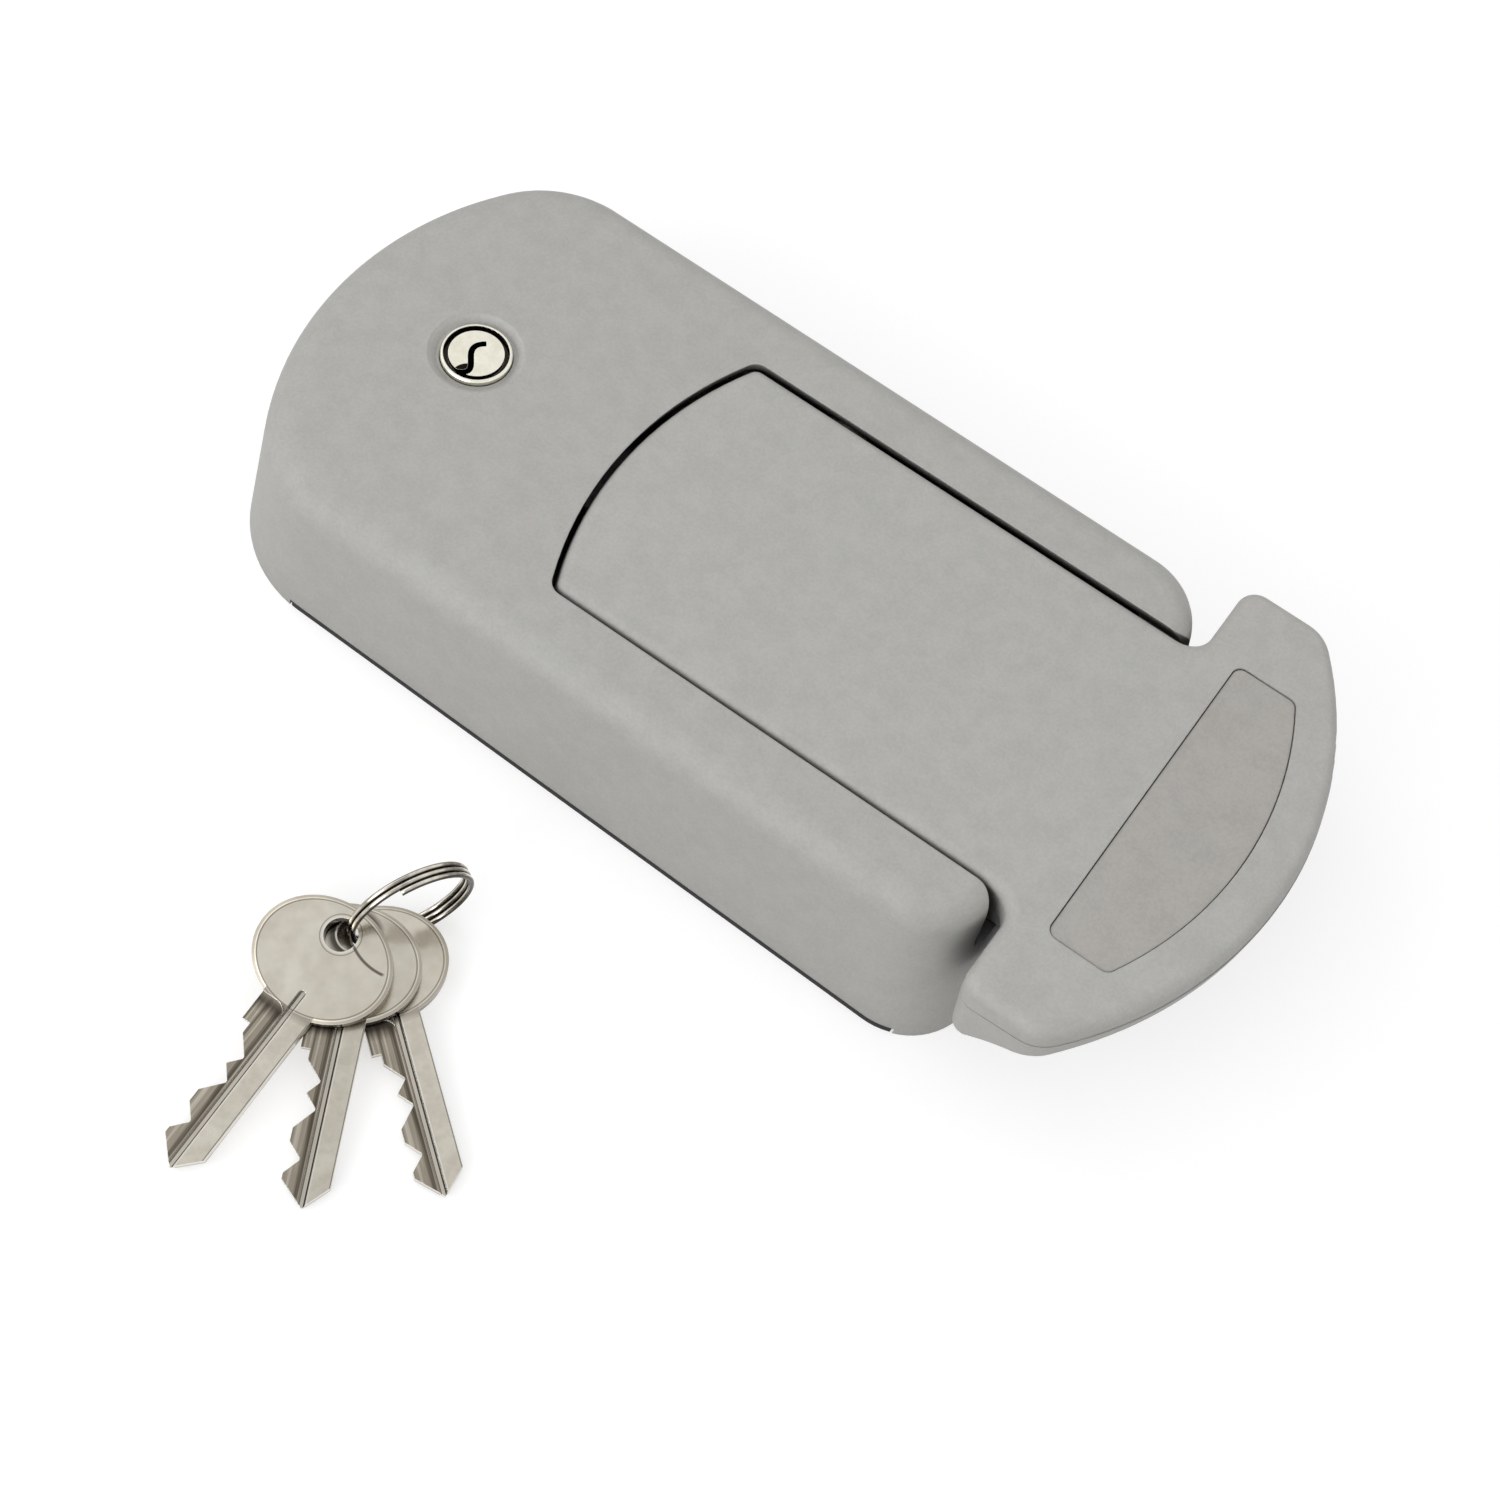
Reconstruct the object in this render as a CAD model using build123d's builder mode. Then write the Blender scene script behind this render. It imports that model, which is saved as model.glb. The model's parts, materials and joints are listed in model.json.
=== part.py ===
"""Flush handle lock for the outside of an equipment or cold-room door, with its three keys.

Millimetres, +Z out of the door. The origin is the centre of the back face, which lies on the door;
+X runs towards the grip and the latch bolt comes out on the +Y side. The top face slopes, so what
is flush with it is drawn in the face frame: origin at the key cylinder's centre, +X to the grip.
"""
import os
from math import cos, radians, sin, sqrt, tan

from build123d import *

os.makedirs("parts", exist_ok=True)

# Housing
body_length = 182.8
body_width = 102.0
lock_end_radius = 71.7
lock_end_corner = 27.0
grip_end_corner = 14.8
draft = 6.4
front_draft = 9.0
wall = 3.0
shoulder = 6.0
lock_x = -56.5
face_height = 33.2
face_slope = 2.55
rim_relief_start = -60.0
rim_relief_end = 82.7

# Paddle, in the face frame
skin = 3.0
gap = 0.6
slot_undercut = 18.0
ear_corner = 5.0
ear_front_x = 142.1
paddle_rear_x = 35.9
paddle_rear_radius = 75.6
paddle_half_width = 32.6
paddle_depth = 12.0
paddle_front_x = 144.4
handle_edge_radius = 2.4

# Crossbar of the grip and its inlay, in the face frame
grip_inner_x = 145.0
grip_outer_x = 182.5
grip_half_width = 52.0
grip_arc_radius = 76.0
grip_depth = 18.4
grip_draft = 4.0
lip = 0.25
parting_depth = 6.5
parting_rise = 3.5
inlay_inner_x = 152.0
inlay_outer_x = 173.3
inlay_arc_radius = 73.2
inlay_half_width = 34.5
inlay_recess = 0.3
inlay_thickness = 1.0

# Hinge of the paddle, in the face frame
pivot_x = 64.0
pivot_depth = 8.0
pin_radius = 3.0
bush_radius = 4.2
cheek_y = 36.0
cheek_thickness = 2.5

# Lever plate, drive arm and crank
lever_top = 12.3
lever_thickness = 3.0
lever_half_width = 22.0
tongue_end_x = 28.0
tongue_half_width = 8.0
arm_length = 16.0
nose_radius = 3.0
input_pin_radius = 3.0
output_pin_radius = 2.5
crank_in = 14.0
crank_out = 28.0
crank_post_radius = 4.0
drive_play = 0.15

# Latch bolt, its guide and its spring
bolt_width = 22.0
bolt_height = 10.0
bolt_nose_y = 60.0
bolt_shoulder_y = 26.0
bolt_tail_y = -20.0
tail_width = 18.0
guide_start_y = 27.0
guide_end_y = 44.0
spring_radius = 4.0
spring_wire = 0.6
spring_turns = 7
spring_seat_y = -44.5
rod_radius = 2.0

# Key cylinder and its cam, in the face frame
dimple_radius = 9.4
dimple_depth = 1.4
rim_level = 0.2
groove_depth = 2.0
ring_radius = 7.0
ring_bore = 6.4
plug_radius = 5.4
collar_radius = 8.5
collar_top = 7.0
collar_bottom = 11.0
cylinder_back = 15.4
cam_top = 15.6
cam_thickness = 2.4
cam_reach = 33.5
cam_half_width = 4.5
keyway_width = 2.4
retainer_thickness = 1.5
retainer_screw_radius = 14.5

# Gasket, chassis plate and fixings
gasket_thickness = 1.5
plate_thickness = 2.5
mount_spacing_x = 136.0
mount_spacing_y = 60.0
insert_radius = 4.45
insert_bore_radius = 2.5
insert_length = 12.5
running_fit = 0.05

# Keys and their split ring: where each hole's middle is, the blade's heading and its tilt
key_thickness = 2.3
key_head_width = 26.4
key_head_length = 22.2
key_head_offset = 5.4
key_hole_radius = 3.1
key_reach = 49.6
key_spine_v = 5.3
key_edge_v = -3.3
key_shoulder_u = 21.8
key_cuts = [(27.3, 2.9), (32.3, 3.1), (41.3, 2.3)]
key_poses = {
    "key_1": ((-5.5, -101.6, 10.4), -88.5, 10.2),
    "key_2": ((-4.6, -99.0, 7.04), -62.5, 6.55),
    "key_3": ((-3.2, -96.7, 3.6), -36.5, 2.7),
}
split_ring_center = (0.5, -89.9, 12.3)
split_ring_heading = 154.6
split_ring_radius = 11.6
split_ring_wire = 0.53
split_ring_pitch = 1.5
split_ring_turns = 2

# Levels and places that follow from these
plate_top = gasket_thickness + plate_thickness
face = Plane(
    origin=(lock_x, 0, face_height),
    x_dir=(cos(radians(face_slope)), 0, sin(radians(face_slope))),
    z_dir=(-sin(radians(face_slope)), 0, cos(radians(face_slope))),
)
pivot = face.from_local_coords(Vector(pivot_x, 0, -pivot_depth))
pin_end = cheek_y + cheek_thickness
input_pin_x = pivot.X + nose_radius + input_pin_radius + drive_play
crank_center = (input_pin_x, -crank_in)
bolt_x = input_pin_x + crank_out
crank_bottom = plate_top + 1.5
crank_top = crank_bottom + 3.0
tail_bottom = crank_top + 0.6
tail_top = tail_bottom + 3.0
bolt_bottom = plate_top + 0.6
bolt_top = bolt_bottom + bolt_height
spring_z = (tail_bottom + tail_top) / 2
screw_places = [(-80.0, 0.0), (-30.0, 41.0), (-30.0, -41.0), (79.0, 36.5), (79.0, -36.5)]
lever_screw_places = [(50.0, 14.0), (50.0, -14.0), (98.0, 14.0), (98.0, -14.0)]
grip_screw_places = [(161.0, 43.0), (164.0, 15.0), (164.0, -15.0), (161.0, -43.0)]
stop_places = [(137.0, 29.7), (137.0, -29.7)]


def finish(piece, name):
    """Label a finished piece and write it."""
    piece.part.label = name
    export_step(piece.part, f"parts/{name}.step")


def across(y=0.0):
    """Plane across Y at y, with X along and Z up; a sketch on it extrudes towards -Y."""
    return Plane.XZ.offset(-y)


def across_face(y=0.0):
    """Like across(), with the face frame's X and Z."""
    origin = face.from_local_coords(Vector(0, y, 0))
    return Plane(origin=origin, x_dir=face.x_dir, z_dir=(0, -1, 0))


def arc_ended(inner_x, outer_x, half, radius, corner_in, corner_out):
    """Plan of a plate that is straight at inner_x and ends in an arc through outer_x."""
    side = 1 if outer_x > inner_x else -1
    outward = Axis((0, 0, 0), (side, 0, 0))
    center_x = outer_x - side * radius
    arc_start = center_x + side * sqrt(radius**2 - half**2)
    with BuildSketch() as outline:
        with BuildLine():
            Polyline((arc_start, -half), (inner_x, -half), (inner_x, half), (arc_start, half))
            ThreePointArc((arc_start, half), (outer_x, 0), (arc_start, -half))
        make_face()
        if corner_out:
            fillet(outline.vertices().group_by(outward)[-1], radius=corner_out)
        if corner_in:
            fillet(outline.vertices().group_by(outward)[0], radius=corner_in)
    return outline.sketch


def inset_by(outline, amount):
    """The outline made smaller all round, or larger if amount is negative."""
    with BuildSketch() as result:
        offset(outline, amount=-amount, kind=Kind.ARC)
    return result.sketch


def body_outline(inset=0.0):
    """Footprint of the housing: an arc at the lock end, square at the grip end."""
    half_length = body_length / 2
    outline = arc_ended(
        half_length, -half_length, body_width / 2, lock_end_radius, grip_end_corner, lock_end_corner
    )
    return inset_by(outline, inset) if inset else outline


def tapered_body(inset, depth, edge_radius):
    """The housing's outer or inner form: a drafted block with a sloping face and a steeper front."""
    front_x = body_length / 2 - inset
    half = body_width / 2 - inset
    leaning = (cos(radians(front_draft)), 0, sin(radians(front_draft)))
    with BuildPart() as form:
        with BuildSketch():
            add(body_outline(inset))
            with Locations((front_x, 0)):
                Rectangle(2 * grip_end_corner, 2 * half, align=(Align.MAX, Align.CENTER))
        extrude(amount=face_height + body_length * tan(radians(face_slope)), taper=draft)
        split(bisect_by=face.offset(-depth), keep=Keep.BOTTOM)
        split(bisect_by=Plane(origin=(front_x, 0, 0), z_dir=leaning), keep=Keep.BOTTOM)
        corners = form.edges().group_by(Axis.X)[-2]
        fillet(corners, radius=grip_end_corner - inset)
        fillet(form.faces().sort_by(Axis.Z)[-1].edges(), radius=edge_radius)
    return form.part


def paddle_outline(margin=0.0, front_x=grip_inner_x + 6):
    """Plan of the paddle: an arc at the rear, straight sides up to front_x."""
    return arc_ended(
        front_x,
        paddle_rear_x - margin,
        paddle_half_width + margin,
        paddle_rear_radius + margin,
        0,
        2.5,
    )


def grip_outline():
    """Plan of the grip's crossbar: straight towards the housing, an arc away from it."""
    return arc_ended(grip_inner_x, grip_outer_x, grip_half_width, grip_arc_radius, 4, 8)


def inlay_outline():
    """Plan of the inlay in the crossbar, whose arc follows the grip's."""
    return arc_ended(inlay_inner_x, inlay_outer_x, inlay_half_width, inlay_arc_radius, 2, 2)


def handle_outline():
    """Plan of the whole handle, paddle and crossbar, with rounded necks between them."""
    with BuildSketch() as outline:
        add(paddle_outline())
        add(grip_outline())
        necks = [
            vertex
            for vertex in outline.vertices()
            if abs(vertex.X - grip_inner_x) < 0.01
            and abs(abs(vertex.Y) - paddle_half_width) < 0.01
        ]
        fillet(necks, radius=5)
    return outline.sketch


def parting_side(side):
    """Side view of all that lies above (side 1) or below (side -1) the crossbar's parting line."""
    play = 0.1 if side > 0 else 0.0
    inner = (grip_inner_x - 0.6, -parting_depth - play)
    outer = (grip_outer_x + 2, parting_rise - parting_depth - play)
    with BuildSketch() as view:
        with BuildLine():
            Polyline(inner, outer, (outer[0], side * 40), (inner[0], side * 40), inner)
        make_face()
    return view.sketch


def underside_view():
    """Side view of the hollow under the crossbar: deep by the housing, shallow outside."""
    inner = (grip_inner_x + 4.5, -grip_depth)
    middle = (grip_inner_x + 13, -11.8)
    outer = (grip_outer_x + 2, -parting_depth)
    with BuildSketch() as view:
        with BuildLine():
            Spline(inner, middle, outer, tangents=[(0.7, 0.7), (1, 0.1)])
            Polyline(outer, (outer[0], -30), (inner[0], -30), inner)
        make_face()
    return view.sketch


def hull_plate(plane, circles, thickness):
    """Plate whose outline wraps circles given as (x, y, radius), extruded from the plane."""
    with BuildPart() as plate:
        with BuildSketch(plane):
            for x, y, radius in circles:
                with Locations((x, y)):
                    Circle(radius)
            make_hull()
        extrude(amount=thickness)
    return plate.part


def open_clip(plane, inner, outer, thickness):
    """Spring clip pushed sideways into a groove: a ring that is open towards the plane's -Y."""
    with BuildPart() as clip:
        with BuildSketch(plane):
            Circle(outer)
            Circle(inner, mode=Mode.SUBTRACT)
            with Locations((0, -outer)):
                Rectangle(1.5 * inner, 2 * outer, mode=Mode.SUBTRACT)
        extrude(amount=thickness)
    return clip.part


def least_gap(path, wire, turns, per_turn=48):
    """Smallest gap of a wound wire to itself, measured between points over a third of a turn apart."""
    points = [path @ (i / (per_turn * turns)) for i in range(per_turn * turns + 1)]
    apart = per_turn // 3
    nearest = min(
        (points[j] - points[i]).length
        for i in range(len(points))
        for j in range(i + apart, len(points))
    )
    return nearest - 2 * wire


def coil(plane, radius, wire, turns, length):
    """Round wire wound as half-turn arcs that each climb half a pitch along the plane's Z."""
    halves = 2 * turns
    step = (length - 2 * wire) / halves
    with BuildPart() as winding:
        with BuildLine() as path:
            for i in range(halves):
                side = 1 if i % 2 == 0 else -1
                start = Vector(side * radius, 0, wire + i * step)
                end = Vector(-side * radius, 0, wire + (i + 1) * step)
                reach = (end - start).length / 2
                crown = (start + end) * 0.5 + Vector(0, side * reach, 0)
                ThreePointArc(*[plane.from_local_coords(p) for p in (start, crown, end)])
        start_plane = Plane(origin=path.wire() @ 0, z_dir=path.wire() % 0)
        with BuildSketch(start_plane):
            Circle(wire)
        sweep()
    return winding.part, least_gap(path.wire(), wire, turns)


# Housing: one moulded shell with an open back, a slot for the paddle and posts for its screws
with BuildPart() as housing:
    add(tapered_body(0, 0, shoulder))
    add(tapered_body(wall, skin, shoulder - wall), mode=Mode.SUBTRACT)

    # Posts for the screws that come from the back
    with BuildSketch(Plane.XY.offset(plate_top)):
        with Locations(*screw_places):
            Circle(4.5)
    extrude(amount=body_length / 4)

    # Boss round the key cylinder, with two posts for its retaining plate
    with BuildSketch(face.offset(-collar_bottom)):
        Circle(collar_radius + 2.5)
        with PolarLocations(retainer_screw_radius, 2, start_angle=45):
            Circle(3.2)
    extrude(amount=collar_bottom)

    # Ledge behind the front wall that carries the handle's rubber stops
    with BuildSketch(face.offset(-paddle_depth - 4)):
        with Locations((paddle_front_x - 8, 0)):
            Rectangle(16, body_width - 14)
    extrude(amount=3)
    add(tapered_body(0, 0, shoulder), mode=Mode.INTERSECT)

    # Slot for the paddle, undercut so that the paddle's rear edge can swing down
    with BuildSketch(face):
        add(inset_by(paddle_outline(), -gap))
    extrude(amount=-skin - 1, taper=-slot_undercut, mode=Mode.SUBTRACT)

    # The slot's way out through the front wall, between ears with a rounded corner
    with BuildSketch(face.offset(1)):
        with Locations((paddle_front_x, 0)):
            Rectangle(60, 2 * (paddle_half_width + gap))
        for side in (-1, 1):
            ear_y = side * (paddle_half_width + gap + ear_corner)
            with Locations((ear_front_x, ear_y - side * ear_corner / 2)):
                Rectangle(2 * ear_corner, ear_corner)
            with Locations((ear_front_x - ear_corner, ear_y)):
                Circle(ear_corner, mode=Mode.SUBTRACT)
    extrude(amount=-paddle_depth - 2, mode=Mode.SUBTRACT)

    # Dimple, bore and counterbore for the key cylinder
    with BuildSketch(face):
        Circle(dimple_radius)
    extrude(amount=-dimple_depth, taper=50, mode=Mode.SUBTRACT)
    with BuildSketch(face):
        Circle(ring_radius + 0.1)
    extrude(amount=-collar_bottom, mode=Mode.SUBTRACT)
    with BuildSketch(face.offset(-collar_top)):
        Circle(collar_radius + 0.1)
    extrude(amount=-collar_bottom, mode=Mode.SUBTRACT)

    # Pilot holes in the posts
    with BuildSketch(Plane.XY.offset(plate_top)):
        with Locations(*screw_places):
            Circle(1.6)
    extrude(amount=14, mode=Mode.SUBTRACT)
    with BuildSketch(face.offset(-collar_bottom)):
        with PolarLocations(retainer_screw_radius, 2, start_angle=45):
            Circle(1.2)
    extrude(amount=collar_bottom - skin, mode=Mode.SUBTRACT)
    with BuildSketch(face.offset(-paddle_depth - 1)):
        with Locations(*stop_places):
            Circle(1.5)
    extrude(amount=-3, mode=Mode.SUBTRACT)

    # Opening for the latch bolt in the side wall
    with BuildSketch(across(body_width / 2 + 1)):
        with Locations((bolt_x, (bolt_bottom + bolt_top) / 2)):
            RectangleRounded(bolt_width + 1.6, bolt_height + 1.2, 1)
    extrude(amount=8, mode=Mode.SUBTRACT)

    # The rim stands on the door at the ends and leaves room for the gasket along the sides
    with BuildSketch():
        with Locations(((rim_relief_start + rim_relief_end) / 2, 0)):
            Rectangle(rim_relief_end - rim_relief_start, body_width + 2)
    extrude(amount=gasket_thickness, mode=Mode.SUBTRACT)
finish(housing, "housing")

# Gasket: a frame under the chassis plate that shows as a dark line along both sides
with BuildPart() as gasket:
    with BuildSketch():
        with Locations(((rim_relief_start + rim_relief_end) / 2, 0)):
            Rectangle(rim_relief_end - rim_relief_start - 1, body_width)
        add(body_outline(0.1), mode=Mode.INTERSECT)
        add(body_outline(wall + 0.6))
        add(body_outline(14), mode=Mode.SUBTRACT)
        with Locations(*screw_places):
            Circle(4.5, mode=Mode.SUBTRACT)
        with GridLocations(mount_spacing_x, mount_spacing_y, 2, 2):
            Circle(4.5, mode=Mode.SUBTRACT)
    extrude(amount=gasket_thickness)
finish(gasket, "gasket")

# Chassis plate: pressed steel, with two cheeks bent up to carry the handle's pin
with BuildPart() as chassis_plate:
    with BuildSketch(Plane.XY.offset(gasket_thickness)):
        add(body_outline(wall + 0.9))
        with GridLocations(mount_spacing_x, mount_spacing_y, 2, 2):
            Circle(insert_radius, mode=Mode.SUBTRACT)
        with Locations(crank_center):
            Circle(2.5, mode=Mode.SUBTRACT)
    extrude(amount=plate_thickness)
    for y in (-cheek_y, pin_end):
        with BuildSketch(across(y)):
            with Locations((pivot.X, pivot.Z)):
                Circle(pivot_depth - skin - 0.2)
            with Locations((pivot.X, plate_top - plate_thickness / 2)):
                Rectangle(24, plate_thickness)
            make_hull()
            with Locations((pivot.X, pivot.Z)):
                Circle(pin_radius, mode=Mode.SUBTRACT)
        extrude(amount=cheek_thickness)
    for x, y in screw_places:
        with Locations(Plane(origin=(x, y, gasket_thickness), z_dir=(0, 0, -1))):
            CounterSinkHole(radius=1.8, counter_sink_radius=3.8, counter_sink_angle=90)
finish(chassis_plate, "chassis_plate")

# Countersunk screws from the back into the housing's posts
with BuildPart() as housing_screws:
    for x, y in screw_places:
        with BuildSketch(Plane(origin=(x, y, gasket_thickness), x_dir=(1, 0, 0), z_dir=(0, -1, 0))):
            with BuildLine():
                Polyline((0, 1), (1.4, 0), (3.6, 0), (1.6, 2), (1.6, 13), (0.6, 14.5), (0, 14.5), (0, 1))
            make_face()
        revolve(axis=Axis((x, y, 0), (0, 0, 1)))
finish(housing_screws, "housing_screws")

# Threaded inserts for the bolts that come through the door, on which they stand
with BuildPart() as mounting_inserts:
    with BuildSketch():
        with GridLocations(mount_spacing_x, mount_spacing_y, 2, 2):
            Circle(insert_radius)
    extrude(amount=insert_length)
    with BuildSketch(Plane.XY.offset(plate_top)):
        with GridLocations(mount_spacing_x, mount_spacing_y, 2, 2):
            RegularPolygon(5.8, 6)
    extrude(amount=1.2)
    with BuildSketch():
        with GridLocations(mount_spacing_x, mount_spacing_y, 2, 2):
            Circle(insert_bore_radius)
    extrude(amount=insert_length, mode=Mode.SUBTRACT)
finish(mounting_inserts, "mounting_inserts")

# Cross pin of the handle: a head at one end and a groove for its clip at the other
with BuildPart() as pivot_pin:
    with BuildSketch(across(pin_end + 2.4)):
        with Locations((pivot.X, pivot.Z)):
            Circle(pin_radius)
    extrude(amount=2 * pin_end + 2.4)
    with BuildSketch(across(-pin_end)):
        with Locations((pivot.X, pivot.Z)):
            Circle(pin_radius + 1.4)
    extrude(amount=1.4)
    with BuildSketch(across(pin_end + 1.1)):
        with Locations((pivot.X, pivot.Z)):
            Circle(pin_radius + 0.1)
            Circle(pin_radius - 0.6, mode=Mode.SUBTRACT)
    extrude(amount=0.9, mode=Mode.SUBTRACT)
    fillet(pivot_pin.faces().sort_by(Axis.Y)[0].edges(), radius=0.5)
finish(pivot_pin, "pivot_pin")

with BuildPart() as pin_clip:
    clip_plane = Plane(origin=(pivot.X, pin_end + 1.05, pivot.Z), x_dir=(1, 0, 0), z_dir=(0, -1, 0))
    add(open_clip(clip_plane, pin_radius - 0.6, pin_radius + 1.4, 0.8))
finish(pin_clip, "pin_clip")

# Handle shell: paddle and crossbar in one moulding, open below
with BuildPart() as handle_shell:
    with BuildSketch(face):
        add(handle_outline())
    extrude(amount=-parting_depth)
    fillet(
        [
            edge
            for edge in handle_shell.faces().sort_by(Axis.Z)[-1].edges()
            if face.to_local_coords(edge.center()).X > paddle_rear_x + 12
        ],
        radius=handle_edge_radius,
    )
    with BuildSketch(across_face(grip_half_width + 2)):
        add(parting_side(-1))
    extrude(amount=2 * grip_half_width + 4, mode=Mode.SUBTRACT)
    with BuildSketch(face.offset(-parting_depth)):
        add(paddle_outline(0, paddle_front_x))
    extrude(amount=parting_depth - paddle_depth)

    # Hollows of the paddle and of the crossbar
    with BuildSketch(face.offset(-skin)):
        add(paddle_outline(-skin, paddle_front_x - skin))
        add(inset_by(grip_outline(), skin))
    extrude(amount=-paddle_depth, mode=Mode.SUBTRACT)

    # Lobes of the side walls round the pin's bushes
    for y in (paddle_half_width, skin - paddle_half_width):
        with BuildSketch(across_face(y)):
            with Locations((pivot_x, -pivot_depth)):
                Circle(8.5)
                Rectangle(17, 17, align=(Align.CENTER, Align.MIN), mode=Mode.SUBTRACT)
        extrude(amount=skin)
    with BuildSketch(across_face(paddle_half_width)):
        with Locations((pivot_x, -pivot_depth)):
            Circle(bush_radius)
    extrude(amount=2 * paddle_half_width, mode=Mode.SUBTRACT)

    # Bosses for the screws of the lever plate and of the lower shell
    with BuildSketch(face.offset(-lever_top)):
        with Locations(*lever_screw_places):
            Circle(4)
    extrude(amount=lever_top - skin)
    with BuildSketch(face.offset(-skin - 0.6)):
        with Locations(*grip_screw_places):
            Circle(3)
    extrude(amount=0.6)
    with BuildSketch(face.offset(-lever_top)):
        with Locations(*lever_screw_places):
            Circle(1.5)
    extrude(amount=lever_top - skin, mode=Mode.SUBTRACT)
    with BuildSketch(face.offset(-skin - 0.6)):
        with Locations(*grip_screw_places):
            Circle(1.2)
    extrude(amount=1.6, mode=Mode.SUBTRACT)

    # Recess of the inlay
    with BuildSketch(face):
        add(inset_by(inlay_outline(), -0.08))
    extrude(amount=-inlay_recess - inlay_thickness, mode=Mode.SUBTRACT)
finish(handle_shell, "handle_shell")

# Inlay of the crossbar, a little below the face
with BuildPart() as grip_inlay:
    with BuildSketch(face.offset(-inlay_recess)):
        add(inlay_outline())
    extrude(amount=-inlay_thickness)
    fillet(grip_inlay.faces().sort_by(Axis.Z)[-1].edges(), radius=0.3)
finish(grip_inlay, "grip_inlay")

# Lower shell of the crossbar: deep by the housing, hollowed for the fingers
with BuildPart() as grip_lower_shell:
    with BuildSketch(face.offset(-parting_depth + parting_rise)):
        add(inset_by(grip_outline(), -lip))
    extrude(amount=parting_depth - parting_rise - grip_depth, taper=grip_draft)
    with BuildSketch(across_face(grip_half_width + 2)):
        add(parting_side(1))
    extrude(amount=2 * grip_half_width + 4, mode=Mode.SUBTRACT)
    with BuildSketch(across_face(grip_half_width + 2)):
        add(underside_view())
    extrude(amount=2 * grip_half_width + 4, mode=Mode.SUBTRACT)
    with BuildSketch(face.offset(4 - grip_depth)):
        with Locations((grip_inner_x + 5.6, 0)):
            Rectangle(4.4, 2 * grip_half_width - 14)
    extrude(amount=grip_depth, mode=Mode.SUBTRACT)
    with BuildSketch(face.offset(-grip_depth)):
        with Locations(*grip_screw_places):
            Circle(3.1)
    extrude(amount=grip_depth - parting_depth - 1.0, mode=Mode.SUBTRACT)
    with BuildSketch(face.offset(-grip_depth)):
        with Locations(*grip_screw_places):
            Circle(1.5)
    extrude(amount=grip_depth, mode=Mode.SUBTRACT)
finish(grip_lower_shell, "grip_lower_shell")

# Screws that hold the crossbar's two shells together
with BuildPart() as grip_screws:
    with BuildSketch(face.offset(-parting_depth - 2.6)):
        with Locations(*grip_screw_places):
            Circle(2.8)
    extrude(amount=1.6)
    with BuildSketch(face.offset(-parting_depth - 1.0)):
        with Locations(*grip_screw_places):
            Circle(1.2)
    extrude(amount=parting_depth + 1.0 - skin + 0.9)
finish(grip_screws, "grip_screws")

# Bushes of the handle, pressed into the paddle's side walls from outside
with BuildPart() as pivot_bushes:
    for side in (-1, 1):
        tube_y = side * (paddle_half_width + 0.3) if side > 0 else -paddle_half_width + skin + 0.3
        flange_y = cheek_y - 0.3 if side > 0 else -paddle_half_width
        with BuildSketch(across_face(tube_y)):
            with Locations((pivot_x, -pivot_depth)):
                Circle(bush_radius)
        extrude(amount=skin + 0.6)
        with BuildSketch(across_face(flange_y)):
            with Locations((pivot_x, -pivot_depth)):
                Circle(bush_radius + 0.4)
        extrude(amount=cheek_y - 0.3 - paddle_half_width)
    with BuildSketch(across_face(cheek_y)):
        with Locations((pivot_x, -pivot_depth)):
            Circle(pin_radius + running_fit)
    extrude(amount=2 * cheek_y, mode=Mode.SUBTRACT)
finish(pivot_bushes, "pivot_bushes")

# Lever plate: steel, with two ears bent up to the pin and the tongue that the cam blocks
with BuildPart() as lever_plate:
    with BuildSketch(face.offset(-lever_top)):
        with Locations((76, 0)):
            RectangleRounded(62, 2 * lever_half_width, 3)
        with Locations(((tongue_end_x + 56) / 2, 0)):
            RectangleRounded(56 - tongue_end_x, 2 * tongue_half_width, 2)
        with Locations(*lever_screw_places):
            Circle(1.8, mode=Mode.SUBTRACT)
    extrude(amount=-lever_thickness)
    for y in (lever_half_width, lever_thickness - lever_half_width):
        with BuildSketch(across_face(y)):
            with Locations((pivot_x, -pivot_depth)):
                Circle(pivot_depth - skin - 0.3)
            with Locations((pivot_x, -lever_top - lever_thickness / 2)):
                Rectangle(20, lever_thickness)
            make_hull()
        extrude(amount=lever_thickness)
    with BuildSketch(across_face(lever_half_width)):
        with Locations((pivot_x, -pivot_depth)):
            Circle(pin_radius + running_fit)
    extrude(amount=2 * lever_half_width, mode=Mode.SUBTRACT)
finish(lever_plate, "lever_plate")

# Screws of the lever plate
with BuildPart() as lever_screws:
    with BuildSketch(face.offset(-lever_top - lever_thickness - 2)):
        with Locations(*lever_screw_places):
            Circle(3.3)
    extrude(amount=2)
    with BuildSketch(face.offset(-lever_top - lever_thickness)):
        with Locations(*lever_screw_places):
            Circle(1.5)
    extrude(amount=10)
finish(lever_screws, "lever_screws")

# Drive arm: hangs from the lever plate, its round nose pushes the crank
with BuildPart() as drive_arm:
    with BuildSketch(across(4)):
        with Locations((pivot.X, pivot.Z - arm_length)):
            Circle(nose_radius)
        with Locations((pivot.X - 1.2, pivot.Z - arm_length / 2)):
            Circle(nose_radius - 0.8)
        make_hull()
    extrude(amount=8)
    with BuildSketch(face.offset(-lever_top - lever_thickness)):
        with Locations((pivot_x, 0)):
            RectangleRounded(16, 14, 2)
    extrude(amount=-2.4)
    split(bisect_by=face.offset(-lever_top - lever_thickness), keep=Keep.BOTTOM)
finish(drive_arm, "drive_arm")

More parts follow.
